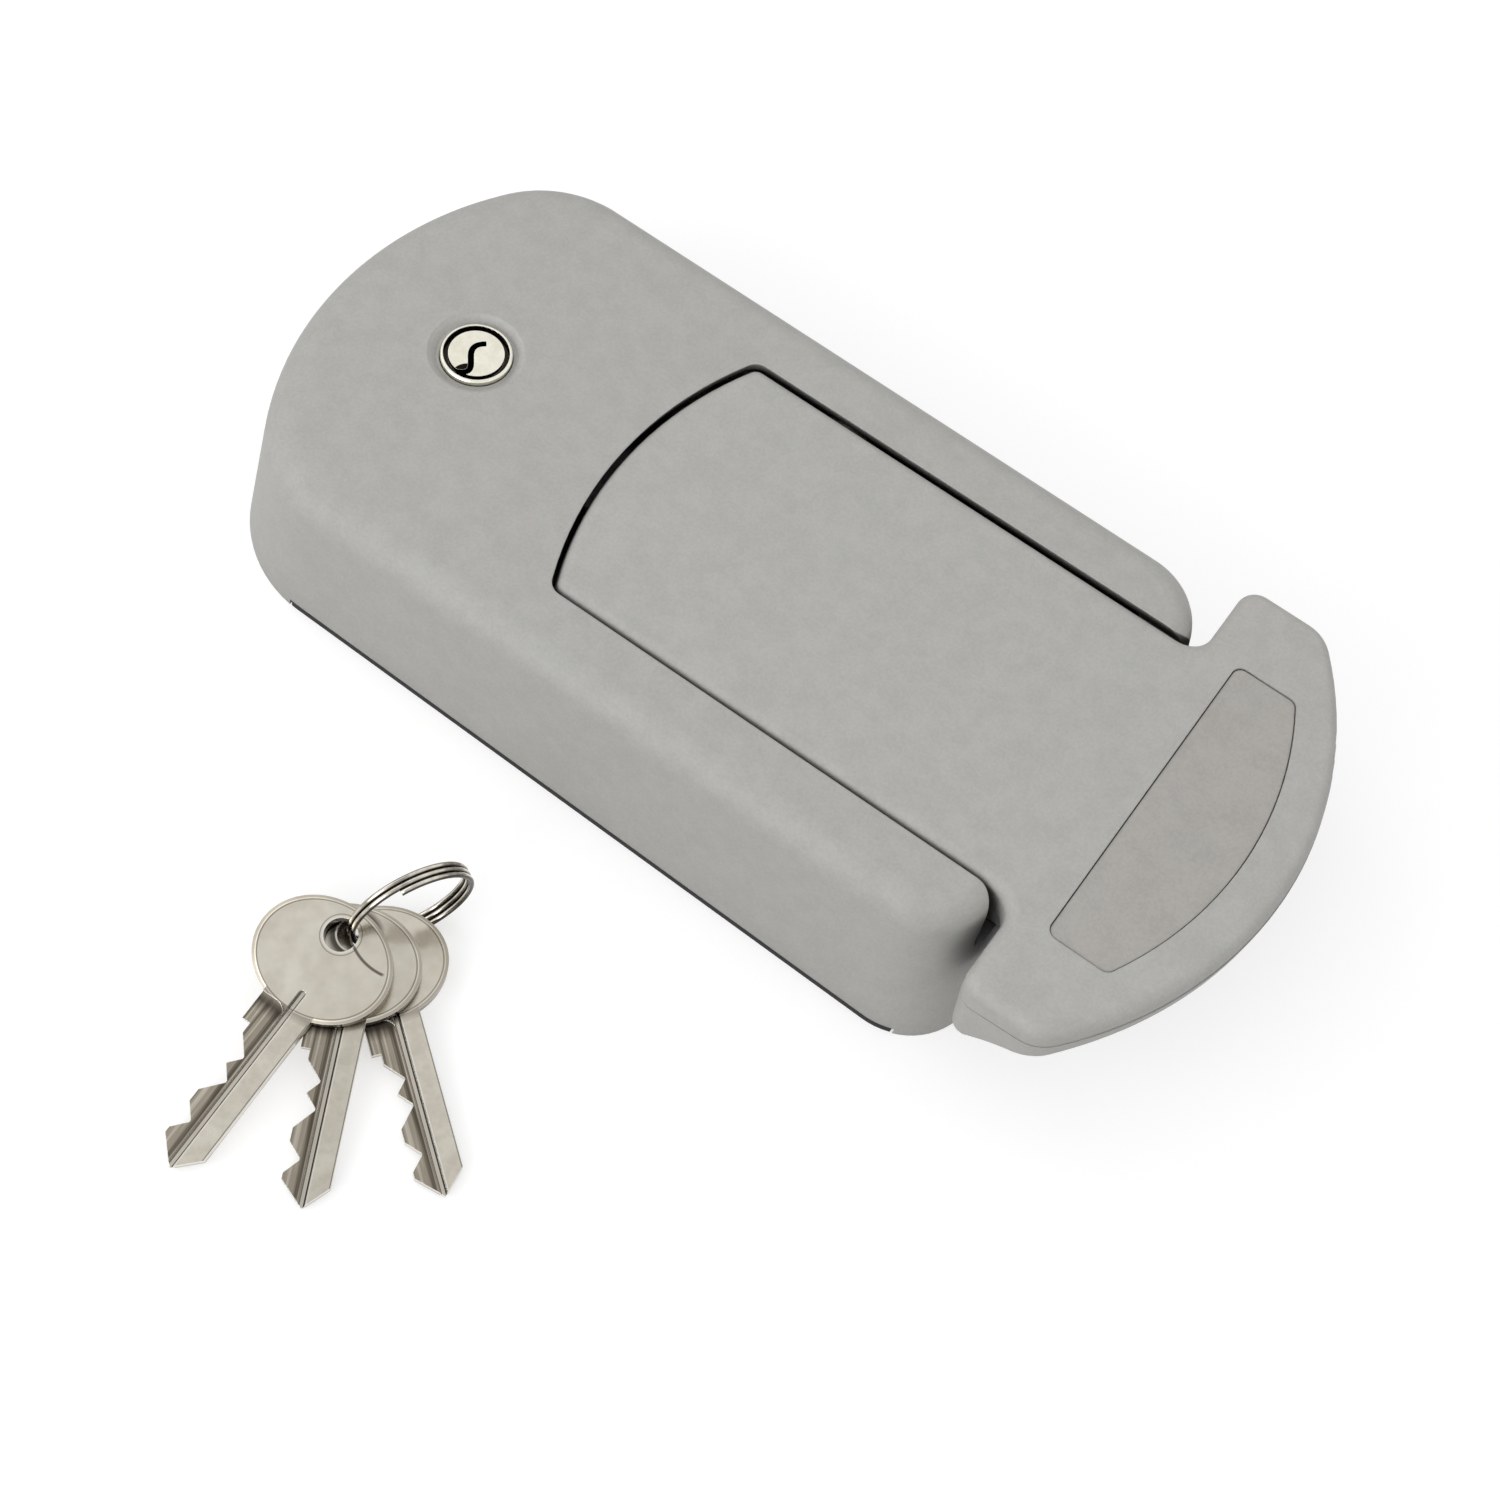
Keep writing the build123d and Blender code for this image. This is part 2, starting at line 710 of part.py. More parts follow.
# Rubber stops that the paddle rests on, plugged into the ledge
with BuildPart() as handle_stops:
    with BuildSketch(face.offset(-paddle_depth - 1)):
        with Locations(*stop_places):
            Circle(2.4)
    extrude(amount=0.9)
    fillet(handle_stops.faces().sort_by(Axis.Z)[-2:].edges(), radius=0.5)
    with BuildSketch(face.offset(-paddle_depth - 5)):
        with Locations(*stop_places):
            Circle(1.5)
    extrude(amount=4)
    with BuildSketch(face.offset(-paddle_depth - 5.6)):
        with Locations(*stop_places):
            Circle(2.1)
    extrude(amount=1.4)
finish(handle_stops, "handle_stops")

# Key cylinder: fixed body with a thin rim showing, a collar behind the face and the plug's bore
with BuildPart() as cylinder_body:
    with BuildSketch(face.offset(-rim_level)):
        Circle(ring_radius)
    extrude(amount=rim_level - cylinder_back)
    with BuildSketch(face.offset(-collar_top)):
        Circle(collar_radius)
    extrude(amount=collar_top - collar_bottom)
    with BuildSketch(face.offset(-rim_level)):
        Circle(ring_bore)
    extrude(amount=-groove_depth, mode=Mode.SUBTRACT)
    with BuildSketch(face):
        Circle(plug_radius + running_fit)
    extrude(amount=-cylinder_back, mode=Mode.SUBTRACT)
    chamfer(
        cylinder_body.faces().sort_by(Axis.Z)[-1].edges().sort_by(SortBy.RADIUS)[-1], length=0.25
    )
finish(cylinder_body, "cylinder_body")

# Retaining plate and its screws, which hold the cylinder's collar up against the housing
with BuildPart() as cylinder_retainer:
    with BuildSketch(face.offset(-collar_bottom)):
        with PolarLocations(retainer_screw_radius, 2, start_angle=45):
            Circle(3.4)
        Circle(collar_radius + 1.5)
        make_hull()
        Circle(ring_radius + 0.1, mode=Mode.SUBTRACT)
        with PolarLocations(retainer_screw_radius, 2, start_angle=45):
            Circle(1.4, mode=Mode.SUBTRACT)
    extrude(amount=-retainer_thickness)
finish(cylinder_retainer, "cylinder_retainer")

with BuildPart() as retainer_screws:
    with BuildSketch(face.offset(-collar_bottom - retainer_thickness)):
        with PolarLocations(retainer_screw_radius, 2, start_angle=45):
            Circle(1.2)
    extrude(amount=8)
    with BuildSketch(face.offset(-collar_bottom - retainer_thickness)):
        with PolarLocations(retainer_screw_radius, 2, start_angle=45):
            Circle(2.5)
    extrude(amount=-1.6)
finish(retainer_screws, "retainer_screws")

# Plug: turns in the body, with a curved keyway, a shoulder under the rim and a flatted tail
with BuildPart() as cylinder_plug:
    with BuildSketch(face.offset(-rim_level - 0.2)):
        Circle(plug_radius)
    extrude(amount=rim_level + 0.2 - cylinder_back)
    with BuildSketch(face.offset(-rim_level - groove_depth + 0.05)):
        Circle(ring_bore - 0.15)
    extrude(amount=0.6)
    with BuildSketch(face.offset(-cylinder_back)):
        Circle(4)
        Rectangle(5.6, 8, mode=Mode.INTERSECT)
    extrude(amount=cylinder_back - cam_top - cam_thickness)
    with BuildSketch(face.offset(-cam_top - cam_thickness)):
        Circle(1.6)
    extrude(amount=8, mode=Mode.SUBTRACT)
    with BuildSketch(face):
        with BuildLine():
            Spline((-1.5, -plug_radius - 1), (1.1, -3.2), (-0.8, -0.6), (0.1, 3.0))
        trace(line_width=keyway_width / 2)
    extrude(amount=-9, mode=Mode.SUBTRACT)
finish(cylinder_plug, "cylinder_plug")

# Cam: swings under the lever plate's tongue; held on the plug's tail by a washer and screw
with BuildPart() as locking_cam:
    add(
        hull_plate(
            face.offset(-cam_top - cam_thickness),
            [(0, 0, 7.2), (0, cam_half_width - cam_reach, cam_half_width)],
            cam_thickness,
        )
    )
    with BuildSketch(face.offset(-cam_top - cam_thickness)):
        Circle(4)
        Rectangle(5.6, 8, mode=Mode.INTERSECT)
    extrude(amount=cam_thickness, mode=Mode.SUBTRACT)
finish(locking_cam, "locking_cam")

with BuildPart() as cam_screw:
    with BuildSketch(face.offset(-cam_top - cam_thickness)):
        Circle(1.6)
    extrude(amount=7)
    with BuildSketch(face.offset(-cam_top - cam_thickness)):
        Circle(5.4)
    extrude(amount=-1)
    with BuildSketch(face.offset(-cam_top - cam_thickness - 1)):
        Circle(3.4)
    extrude(amount=-2.2)
finish(cam_screw, "cam_screw")

# Post of the crank, riveted into the chassis plate, and its clip
with BuildPart() as crank_post:
    with BuildSketch(Plane.XY.offset(gasket_thickness)):
        with Locations(crank_center):
            Circle(2.5)
    extrude(amount=plate_thickness)
    with BuildSketch(Plane.XY.offset(plate_top)):
        with Locations(crank_center):
            Circle(6.5)
    extrude(amount=crank_bottom - 0.1 - plate_top)
    with BuildSketch(Plane.XY.offset(crank_bottom - 0.1)):
        with Locations(crank_center):
            Circle(crank_post_radius)
    extrude(amount=crank_top - crank_bottom + 2.2)
    with BuildSketch(Plane.XY.offset(crank_top + 0.15)):
        with Locations(crank_center):
            Circle(crank_post_radius + 0.1)
            Circle(crank_post_radius - 0.7, mode=Mode.SUBTRACT)
    extrude(amount=0.9, mode=Mode.SUBTRACT)
finish(crank_post, "crank_post")

with BuildPart() as crank_clip:
    add(open_clip(Plane.XY.offset(crank_top + 0.2).shift_origin((*crank_center, crank_top + 0.2)),
                  crank_post_radius - 0.7, crank_post_radius + 1.8, 0.8))
finish(crank_clip, "crank_clip")

# Crank: turns the arm's push into the bolt's pull
with BuildPart() as bell_crank:
    for x, y, radius in ((0, crank_in, 5.5), (crank_out, 0, 5)):
        arm_circles = [
            (crank_center[0], crank_center[1], 7.5),
            (crank_center[0] + x, crank_center[1] + y, radius),
        ]
        add(hull_plate(Plane.XY.offset(crank_bottom), arm_circles, crank_top - crank_bottom))
    with BuildSketch(Plane.XY.offset(crank_bottom)):
        with Locations(crank_center):
            Circle(crank_post_radius + running_fit)
        with Locations((crank_center[0], crank_center[1] + crank_in)):
            Circle(2)
        with Locations((crank_center[0] + crank_out, crank_center[1])):
            Circle(1.8)
    extrude(amount=crank_top - crank_bottom, mode=Mode.SUBTRACT)
finish(bell_crank, "bell_crank")

# Studs riveted into the crank: one for the drive arm, one for the bolt
with BuildPart() as crank_studs:
    with BuildSketch(Plane.XY.offset(crank_bottom)):
        with Locations((input_pin_x, 0)):
            Circle(2)
        with Locations((bolt_x, -crank_in)):
            Circle(1.8)
    extrude(amount=crank_top - crank_bottom)
    with BuildSketch(Plane.XY.offset(crank_top)):
        with Locations((input_pin_x, 0)):
            Circle(input_pin_radius)
    extrude(amount=7)
    with BuildSketch(Plane.XY.offset(crank_top)):
        with Locations((bolt_x, -crank_in)):
            Circle(output_pin_radius)
    extrude(amount=tail_top - crank_top + 0.5)
finish(crank_studs, "crank_studs")

# Latch bolt: a head bevelled towards the door frame and a slotted tail over the crank
with BuildPart() as latch_bolt:
    with BuildSketch(Plane.YZ.offset(bolt_x - bolt_width / 2)):
        with BuildLine():
            Polyline(
                (bolt_shoulder_y, bolt_bottom),
                (bolt_nose_y - bolt_height + 0.5, bolt_bottom),
                (bolt_nose_y, bolt_top - 1.5),
                (bolt_nose_y, bolt_top),
                (bolt_shoulder_y, bolt_top),
                (bolt_shoulder_y, bolt_bottom),
            )
        make_face()
    extrude(amount=bolt_width)
    fillet(latch_bolt.faces().sort_by(Axis.Y)[-1].edges(), radius=0.6)
    with BuildSketch(Plane.XY.offset(tail_bottom)):
        with Locations((bolt_x, (bolt_tail_y + bolt_shoulder_y + 2) / 2)):
            RectangleRounded(tail_width, bolt_shoulder_y + 2 - bolt_tail_y, 1.5)
        with Locations((bolt_x, -crank_in)):
            SlotOverall(11, 2 * output_pin_radius + 0.6, mode=Mode.SUBTRACT)
    extrude(amount=tail_top - tail_bottom)
finish(latch_bolt, "latch_bolt")

# Guide: a bridge over the bolt, screwed to the chassis plate
leg_x = bolt_width / 2 + 0.3
with BuildPart() as bolt_guide:
    with BuildSketch(across(guide_end_y)):
        with Locations((bolt_x, plate_top)):
            Rectangle(2 * leg_x + 5, bolt_top + 2.8 - plate_top, align=(Align.CENTER, Align.MIN))
            Rectangle(2 * leg_x + 16, 2.5, align=(Align.CENTER, Align.MIN))
            Rectangle(
                2 * leg_x,
                bolt_top + 0.3 - plate_top,
                align=(Align.CENTER, Align.MIN),
                mode=Mode.SUBTRACT,
            )
    extrude(amount=guide_end_y - guide_start_y)
    with BuildSketch(Plane.XY.offset(plate_top)):
        with Locations((bolt_x, (guide_start_y + guide_end_y) / 2)):
            with GridLocations(2 * leg_x + 10.5, 1, 2, 1):
                Circle(1.5)
    extrude(amount=2.5, mode=Mode.SUBTRACT)
finish(bolt_guide, "bolt_guide")

with BuildPart() as guide_screws:
    with BuildSketch(Plane.XY.offset(plate_top)):
        with Locations((bolt_x, (guide_start_y + guide_end_y) / 2)):
            with GridLocations(2 * leg_x + 10.5, 1, 2, 1):
                Circle(1.5)
    extrude(amount=2.5)
    with BuildSketch(Plane.XY.offset(plate_top + 2.5)):
        with Locations((bolt_x, (guide_start_y + guide_end_y) / 2)):
            with GridLocations(2 * leg_x + 10.5, 1, 2, 1):
                Circle(2.4)
    extrude(amount=1.6)
finish(guide_screws, "guide_screws")

# Seat of the bolt's spring, with the rod that keeps the spring straight
with BuildPart() as spring_seat:
    with BuildSketch(across(spring_seat_y)):
        with Locations((bolt_x, plate_top)):
            RectangleRounded(15, 13, 1, align=(Align.CENTER, Align.MIN))
    extrude(amount=1.5)
    with BuildSketch(across(spring_seat_y)):
        with Locations((bolt_x, spring_z)):
            Circle(rod_radius)
    extrude(amount=-10.5)
    with BuildSketch(Plane.XY.offset(plate_top)):
        with Locations((bolt_x, spring_seat_y - 1.5)):
            Rectangle(15, 10, align=(Align.CENTER, Align.MIN))
    extrude(amount=1.5)
finish(spring_seat, "spring_seat")

spring_length = bolt_tail_y - spring_seat_y
with BuildPart() as bolt_spring:
    spring_plane = Plane(origin=(bolt_x, spring_seat_y, spring_z), x_dir=(1, 0, 0), z_dir=(0, 1, 0))
    spring_solid, spring_gap = coil(
        spring_plane, spring_radius, spring_wire, spring_turns, spring_length
    )
    add(spring_solid)
print(f"gap between the spring's turns: {spring_gap:.2f} mm")
finish(bolt_spring, "bolt_spring")


# Keys: round head with a hole near its edge, grooved blade with cuts on one side
def key_blank():
    """One key lying in the XY plane, its hole at the origin and its blade along +X."""
    with BuildPart() as blank:
        with BuildSketch(Plane.XY.offset(-key_thickness / 2)):
            with Locations((key_head_offset, 0)):
                Ellipse(key_head_length / 2, key_head_width / 2)
            with BuildLine():
                Polyline(
                    (key_head_offset, key_spine_v),
                    (key_reach - 4.2, key_spine_v),
                    (key_reach, 1.1),
                    (key_reach - 4.4, key_edge_v),
                    (key_shoulder_u, key_edge_v),
                    (key_shoulder_u, key_edge_v - 1.7),
                    (key_head_offset, key_edge_v - 1.7),
                    (key_head_offset, key_spine_v),
                )
            make_face()
            for u, depth in key_cuts:
                with BuildLine():
                    Polyline(
                        (u - 1.25 * depth, key_edge_v - 0.1),
                        (u - 0.2, key_edge_v + depth),
                        (u + 0.2, key_edge_v + depth),
                        (u + 1.25 * depth, key_edge_v - 0.1),
                        (u - 1.25 * depth, key_edge_v - 0.1),
                    )
                make_face(mode=Mode.SUBTRACT)
        extrude(amount=key_thickness)
        for face_of_key in blank.faces().filter_by(Axis.Z):
            head_rim = face_of_key.edges().filter_by(GeomType.ELLIPSE)
            chamfer(head_rim, length=0.8, length2=0.25, reference=face_of_key)
        with BuildSketch(Plane.XY.offset(-key_thickness / 2)):
            Circle(key_hole_radius)
        extrude(amount=key_thickness, mode=Mode.SUBTRACT)

        # Recess along the cut side of both faces and a deeper groove beside it
        for side in (-1, 1):
            level = Plane.XY.offset(side * key_thickness / 2)
            with BuildSketch(level):
                with Locations((key_shoulder_u - 6, 0.5)):
                    RectangleRounded(60, 7.6, 2.5, align=(Align.MIN, Align.MAX))
            extrude(amount=-side * 0.4, mode=Mode.SUBTRACT)
            with BuildSketch(level):
                with Locations((key_shoulder_u - 10 + 30, 1.0)):
                    SlotOverall(60, 1.2)
            extrude(amount=-side * 0.8, mode=Mode.SUBTRACT)
    return blank.part


blank_key = key_blank()
for key_name, (place, heading, tilt) in key_poses.items():
    across_tilt = cos(radians(tilt))
    blade_dir = (
        across_tilt * cos(radians(heading)),
        across_tilt * sin(radians(heading)),
        -sin(radians(tilt)),
    )
    side_dir = Vector(-sin(radians(heading)), cos(radians(heading)), 0)
    key_plane = Plane(origin=place, x_dir=blade_dir, z_dir=Vector(*blade_dir).cross(side_dir))
    with BuildPart() as key:
        with Locations(key_plane):
            add(blank_key)
    finish(key, key_name)

# Split ring through the keys' holes: two turns of wire, its ends on the side away from the keys
ring_plane = Plane(
    origin=split_ring_center,
    x_dir=(sin(radians(split_ring_heading)), -cos(radians(split_ring_heading)), 0),
    z_dir=(cos(radians(split_ring_heading)), sin(radians(split_ring_heading)), 0),
)
ring_length = split_ring_turns * split_ring_pitch + 2 * split_ring_wire
with BuildPart() as split_ring:
    ring_solid, ring_gap = coil(
        ring_plane.offset(-ring_length / 2),
        split_ring_radius,
        split_ring_wire,
        split_ring_turns,
        ring_length,
    )
    add(ring_solid)
print(f"gap between the split ring's turns: {ring_gap:.2f} mm")
finish(split_ring, "split_ring")
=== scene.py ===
"""Looks of the flush handle lock and its bunch of keys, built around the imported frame."""
import json
import math
from types import SimpleNamespace

import bmesh
import bpy
from mathutils import Matrix, Vector


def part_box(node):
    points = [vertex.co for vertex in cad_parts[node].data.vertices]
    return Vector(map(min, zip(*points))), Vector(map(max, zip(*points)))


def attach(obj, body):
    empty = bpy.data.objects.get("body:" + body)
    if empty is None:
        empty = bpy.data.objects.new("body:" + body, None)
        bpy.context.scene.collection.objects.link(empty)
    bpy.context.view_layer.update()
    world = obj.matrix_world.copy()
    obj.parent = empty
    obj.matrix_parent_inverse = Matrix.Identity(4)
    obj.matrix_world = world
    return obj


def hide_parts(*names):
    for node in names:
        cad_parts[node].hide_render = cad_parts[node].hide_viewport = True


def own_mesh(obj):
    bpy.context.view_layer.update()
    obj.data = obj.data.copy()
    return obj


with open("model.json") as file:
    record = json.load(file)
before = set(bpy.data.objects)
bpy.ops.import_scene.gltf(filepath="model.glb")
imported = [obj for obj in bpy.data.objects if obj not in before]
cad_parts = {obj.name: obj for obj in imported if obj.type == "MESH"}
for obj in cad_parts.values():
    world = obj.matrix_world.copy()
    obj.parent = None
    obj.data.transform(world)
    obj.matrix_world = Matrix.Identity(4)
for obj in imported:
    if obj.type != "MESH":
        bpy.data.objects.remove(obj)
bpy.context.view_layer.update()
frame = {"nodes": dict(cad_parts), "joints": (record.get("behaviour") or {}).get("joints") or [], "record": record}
nodes = frame["nodes"]
joints = {joint["name"]: joint for joint in frame["joints"]}
slot_of = {part["node"]: part["material_slot"] for part in frame["record"]["subparts"]}

# Lengths are in millimetres, apart from those of the floor and the lamps, which are in metres
MM = 0.001
ALONG = Vector((1, 0, 0))
ACROSS = Vector((0, 1, 0))
UP = Vector((0, 0, 1))

# Sloping face, from the axis that the lock's plug turns about
PLUG_DEPTH = 8.0
FACE_Z = Vector(joints["cylinder_turn"]["axis"])
FACE_X = ACROSS.cross(FACE_Z)
FACE_ORIGIN = Vector(joints["cylinder_turn"]["pos_m"]) + FACE_Z * PLUG_DEPTH * MM

# Lock cylinder: radii about its axis, and the mouth of its curved keyway, painted black as shade
GROOVE_RADII = (5.42, 6.24)
RIM_RADIUS = 6.9
DIMPLE_RADII = (7.1, 8.9)
DIMPLE_EDGE = 9.3
MOUTH_TURN = math.radians(26.5)
MOUTH_CENTER = (-3.95, 2.1)
MOUTH_HALVES = (1.9, 0.95)

# Crossbar: its inlay lies beyond this place along the lock
INLAY_START = 98.0

# Keys: u runs along the blade and v across it, both from the hole's middle
HEAD_CENTER = (5.4, 0.0)
HEAD_HALVES = (11.1, 13.2)
HEAD_END = (16.0, 17.5)
BLADE_START = (15.6, 16.6)
GROOVE_START = (11.9, 12.5)
HOLE_HALVES = (3.1, 3.1)
SCRATCH_CENTER = (-8.95, 8.36)
SCRATCH_HALVES = (10.88, 10.88)

# Split ring's wire
RING_HEADING = math.radians(154.6)
RING_AXIS = Vector((math.cos(RING_HEADING), math.sin(RING_HEADING), 0))
RING_CENTER = Vector((0.5, -89.9, 12.3)) - RING_AXIS * 0.15
RING_RADIUS = 11.6
RING_WIRE = 0.53
RING_TURNS = 2.5
RING_LENGTH = 3.82
RING_START = math.radians(-104.0)

# Bolt spring's wire
SPRING_RADIUS = 4.0
SPRING_WIRE = 0.6
SPRING_TURNS = 7

# Noises: scale per metre, or per millimetre on a key, then detail and roughness
PLASTIC_CLOUD = (60, 3, 0.5)
PLASTIC_MOTTLE = (210, 6, 0.7)
PLASTIC_GRAIN = (1700, 3, 0.62)
PLASTIC_SPECK = (3200, 2, 0.5)
METAL_STREAK = (1000, 3, 0.6)
METAL_CLOUD = (140, 5, 0.65)
METAL_PITS = (1500, 2, 0.5)
LOCK_CLOUD = (420, 4, 0.6)
WIRE_CLOUD = (500, 4, 0.6)
WIRE_STAIN = (150, 3, 0.5)
RUBBER_PEBBLE = (1400, 4, 0.6)
CLOUD_ON_KEY = (0.13, 3, 0.5)
MIST_ON_KEY = (0.45, 3, 0.5)
DRAWN_ON_KEY = (1.0, 3, 0.55)
LINES_ON_KEY = (1.0, 3, 0.6)
WAVE_ON_KEY = (0.16, 1, 0.4)
STREAK_STRETCH = (0.26, 5.2, 2.6)

# Rays per sample of the nodes that look round a point
NODE_SAMPLES = 6

# Linear colours
GREY = (0.392, 0.387, 0.369)
INLAY_GREY = (0.374, 0.36, 0.338)
BUSH_WHITE = (0.6, 0.58, 0.52)
RUBBER_BLACK = (0.012, 0.012, 0.012)
BRIGHT_EDGE = (0.92, 0.9, 0.86)
LOCK = SimpleNamespace(
    dull=(0.86, 0.83, 0.70),
    bright=(0.97, 0.945, 0.83),
    # Painted highlight on edges; painted shade in the groove, the keyway's mouth and the hollow inside the rim
    edge=(0.98, 0.96, 0.9),
    groove=(0.02, 0.017, 0.013),
    mouth=(0.012, 0.01, 0.008),
    inside=(0.03, 0.026, 0.02),
)
WIRE = SimpleNamespace(
    dull=(0.62, 0.57, 0.49),
    bright=(0.88, 0.84, 0.76),
    stain=(0.2, 0.17, 0.13),
    # Painted dark reflection on the wire's sides
    between=(0.035, 0.028, 0.02),
)
KEY = SimpleNamespace(
    dull=(0.71, 0.655, 0.558),
    bright=(0.865, 0.825, 0.722),
    edge=(0.97, 0.95, 0.9),
    smoke=(0.5, 0.455, 0.38),
    # Painted shade for the recess, its line, the throat by the head, the groove's walls and the back line; a
    # painted highlight for the lip; the recess's light streaks also paint the groove's floor lit
    recess=(0.33, 0.29, 0.225),
    recess_dark=(0.12, 0.1, 0.075),
    recess_light=(0.66, 0.61, 0.53),
    recess_line=(0.08, 0.065, 0.05),
    throat=(0.05, 0.04, 0.03),
    groove_rise=(0.1, 0.08, 0.06),
    groove_fall=(0.03, 0.024, 0.018),
    lip_highlight=(0.97, 0.94, 0.87),
    back_line=(0.16, 0.135, 0.1),
    # Head's line, rim and walls painted dark as shade and dark reflection; the wall colour also marks the scratch
    head_line=(0.2, 0.175, 0.14),
    head_rim=(0.3, 0.265, 0.215),
    head_wall=(0.09, 0.075, 0.055),
    # Blade walls painted bright as a reflection, cutter lines, and a foot painted dark as shade
    wall=(0.7, 0.67, 0.61),
    wall_lines=(0.3, 0.27, 0.22),
    wall_foot=(0.2, 0.18, 0.145),
    # Painted shade line round the hole, and painted shade round the hole of the keys lying under another
    hole_line=(0.2, 0.18, 0.15),
    hole_shade=(0.05, 0.042, 0.032),
)

# Painted shade and light along the keys' milled groove, a dark line at its rising wall, a light band on its floor
# and a black shadow line at its falling wall: place across the blade, soft width, strength and colour
GROOVE_LINES = (
    (0.3, 0.62, 0.1, 0.85, KEY.groove_rise),
    (0.72, 1.16, 0.08, 0.9, KEY.recess_light),
    (1.3, 1.62, 0.08, 0.95, KEY.groove_fall),
)

# Camera, solved from the photograph's edges in the frame of the sloping face
FACE_RISE = 0.0445
CAMERA_LENS = 60.04
CAMERA_PLACE = (99.7, -236.2, 429.8)
CAMERA_RIGHT = (0.8122, 0.5712, 0.1186)
CAMERA_DOWN = (0.5528, -0.6887, -0.469)
CAMERA_AHEAD = (-0.1862, 0.4465, -0.8752)

# Studio: floor's profile as radius and height, and sky's brightness from horizon to zenith
FLOOR_PROFILE = ((0.6, 0), (1.5, 0), (3.0, 0), (3.6, 0.12), (4.0, 0.5), (4.15, 1.1))
FLOOR_SIDES = 64
FLOOR_GREY = 0.52
FLOOR_GLOW = 0.55
SKY_LEVELS = ((0.0, 0.97), (0.55, 0.92), (0.84, 0.88), (0.97, 0.72), (1.0, 0.62))


# Node helpers

def feed(tree, item, socket):
    """Link a socket to an input, or set a number or a colour on it."""
    if isinstance(item, bpy.types.NodeSocket):
        tree.links.new(item, socket)
    elif isinstance(item, tuple):
        socket.default_value = (*item, 1)
    else:
        socket.default_value = item


def new_material(name):
    """An empty node material with its output and shader."""
    mat = bpy.data.materials.new(name)
    mat.use_nodes = True
    tree = mat.node_tree
    tree.nodes.clear()
    out = tree.nodes.new("ShaderNodeOutputMaterial")
    shader = tree.nodes.new("ShaderNodeBsdfPrincipled")
    tree.links.new(shader.outputs[0], out.inputs["Surface"])
    return mat, tree, shader


def coords(tree, scale=(1, 1, 1), turn=0.0):
    """Object coordinates, scaled and turned about the vertical."""
    source = tree.nodes.new("ShaderNodeTexCoord")
    mapping = tree.nodes.new("ShaderNodeMapping")
    mapping.inputs["Scale"].default_value = scale
    mapping.inputs["Rotation"].default_value = (0, 0, turn)
    tree.links.new(source.outputs["Object"], mapping.inputs["Vector"])
    return mapping.outputs[0]


def noise(tree, vector, scale, detail, rough):
    """Noise texture's value."""
    node = tree.nodes.new("ShaderNodeTexNoise")
    node.inputs["Scale"].default_value = scale
    node.inputs["Detail"].default_value = detail
    node.inputs["Roughness"].default_value = rough
    tree.links.new(vector, node.inputs["Vector"])
    return node.outputs["Fac"]


def spread(tree, value, low, high, out_low=0.0, out_high=1.0):
    """Map a value's range to another, clamped at both ends."""
    node = tree.nodes.new("ShaderNodeMapRange")
    ends = {"From Min": low, "From Max": high, "To Min": out_low, "To Max": out_high}
    for key, number in ends.items():
        node.inputs[key].default_value = number
    tree.links.new(value, node.inputs["Value"])
    return node.outputs[0]


def maths(tree, kind, *items):
    """Math node whose inputs are sockets or numbers."""
    node = tree.nodes.new("ShaderNodeMath")
    node.operation = kind
    for socket, item in zip(node.inputs, items):
        feed(tree, item, socket)
    return node.outputs[0]


def product(tree, first, *others):
    """Product of sockets or numbers."""
    result = first
    for item in others:
        result = maths(tree, "MULTIPLY", result, item)
    return result


def mixed(tree, factor, first, second):
    """Mix of two colours, each a socket or a linear triple."""
    node = tree.nodes.new("ShaderNodeMix")
    node.data_type = "RGBA"
    tree.links.new(factor, node.inputs[0])
    feed(tree, first, node.inputs[6])
    feed(tree, second, node.inputs[7])
    return node.outputs[2]


def painted(tree, base, mask, strength, colour):
    """A colour laid over a base where a mask says."""
    return mixed(tree, product(tree, mask, strength), base, colour)


def coated(tree, base, coats):
    """A base under coats, each a mask with its strength and colour, the first one lowest."""
    for mask, strength, colour in coats:
        base = painted(tree, base, mask, strength, colour)
    return base


def shaded(tree, colour, factor):
    """A colour socket times a factor socket."""
    node = tree.nodes.new("ShaderNodeVectorMath")
    node.operation = "SCALE"
    tree.links.new(colour, node.inputs[0])
    tree.links.new(factor, node.inputs["Scale"])
    return node.outputs[0]


def tint(colour, factor):
    """A linear triple times a factor."""
    return tuple(channel * factor for channel in colour)


def dot_product(tree, socket):
    """Dot product node fed by a vector socket: its value, and its free second input."""
    node = tree.nodes.new("ShaderNodeVectorMath")
    node.operation = "DOT_PRODUCT"
    tree.links.new(socket, node.inputs[0])
    return node.outputs["Value"], node.inputs[1]


def distance_along(tree, direction, origin):
    """How far a surface point lies from an origin along a direction, in millimetres."""
    source = tree.nodes.new("ShaderNodeTexCoord")
    value, other = dot_product(tree, source.outputs["Object"])
    other.default_value = direction / MM
    return maths(tree, "SUBTRACT", value, direction.dot(origin) / MM)


def facing(tree, direction):
    """How squarely a surface faces along a direction or against it, from 0 to 1."""
    source = tree.nodes.new("ShaderNodeTexCoord")
    value, other = dot_product(tree, source.outputs["Normal"])
    other.default_value = direction
    return maths(tree, "ABSOLUTE", value)


def combined(tree, x, y, scale_x=1.0, scale_y=1.0):
    """A vector of two scaled values."""
    node = tree.nodes.new("ShaderNodeCombineXYZ")
    tree.links.new(product(tree, x, scale_x), node.inputs[0])
    tree.links.new(product(tree, y, scale_y), node.inputs[1])
    return node.outputs[0]


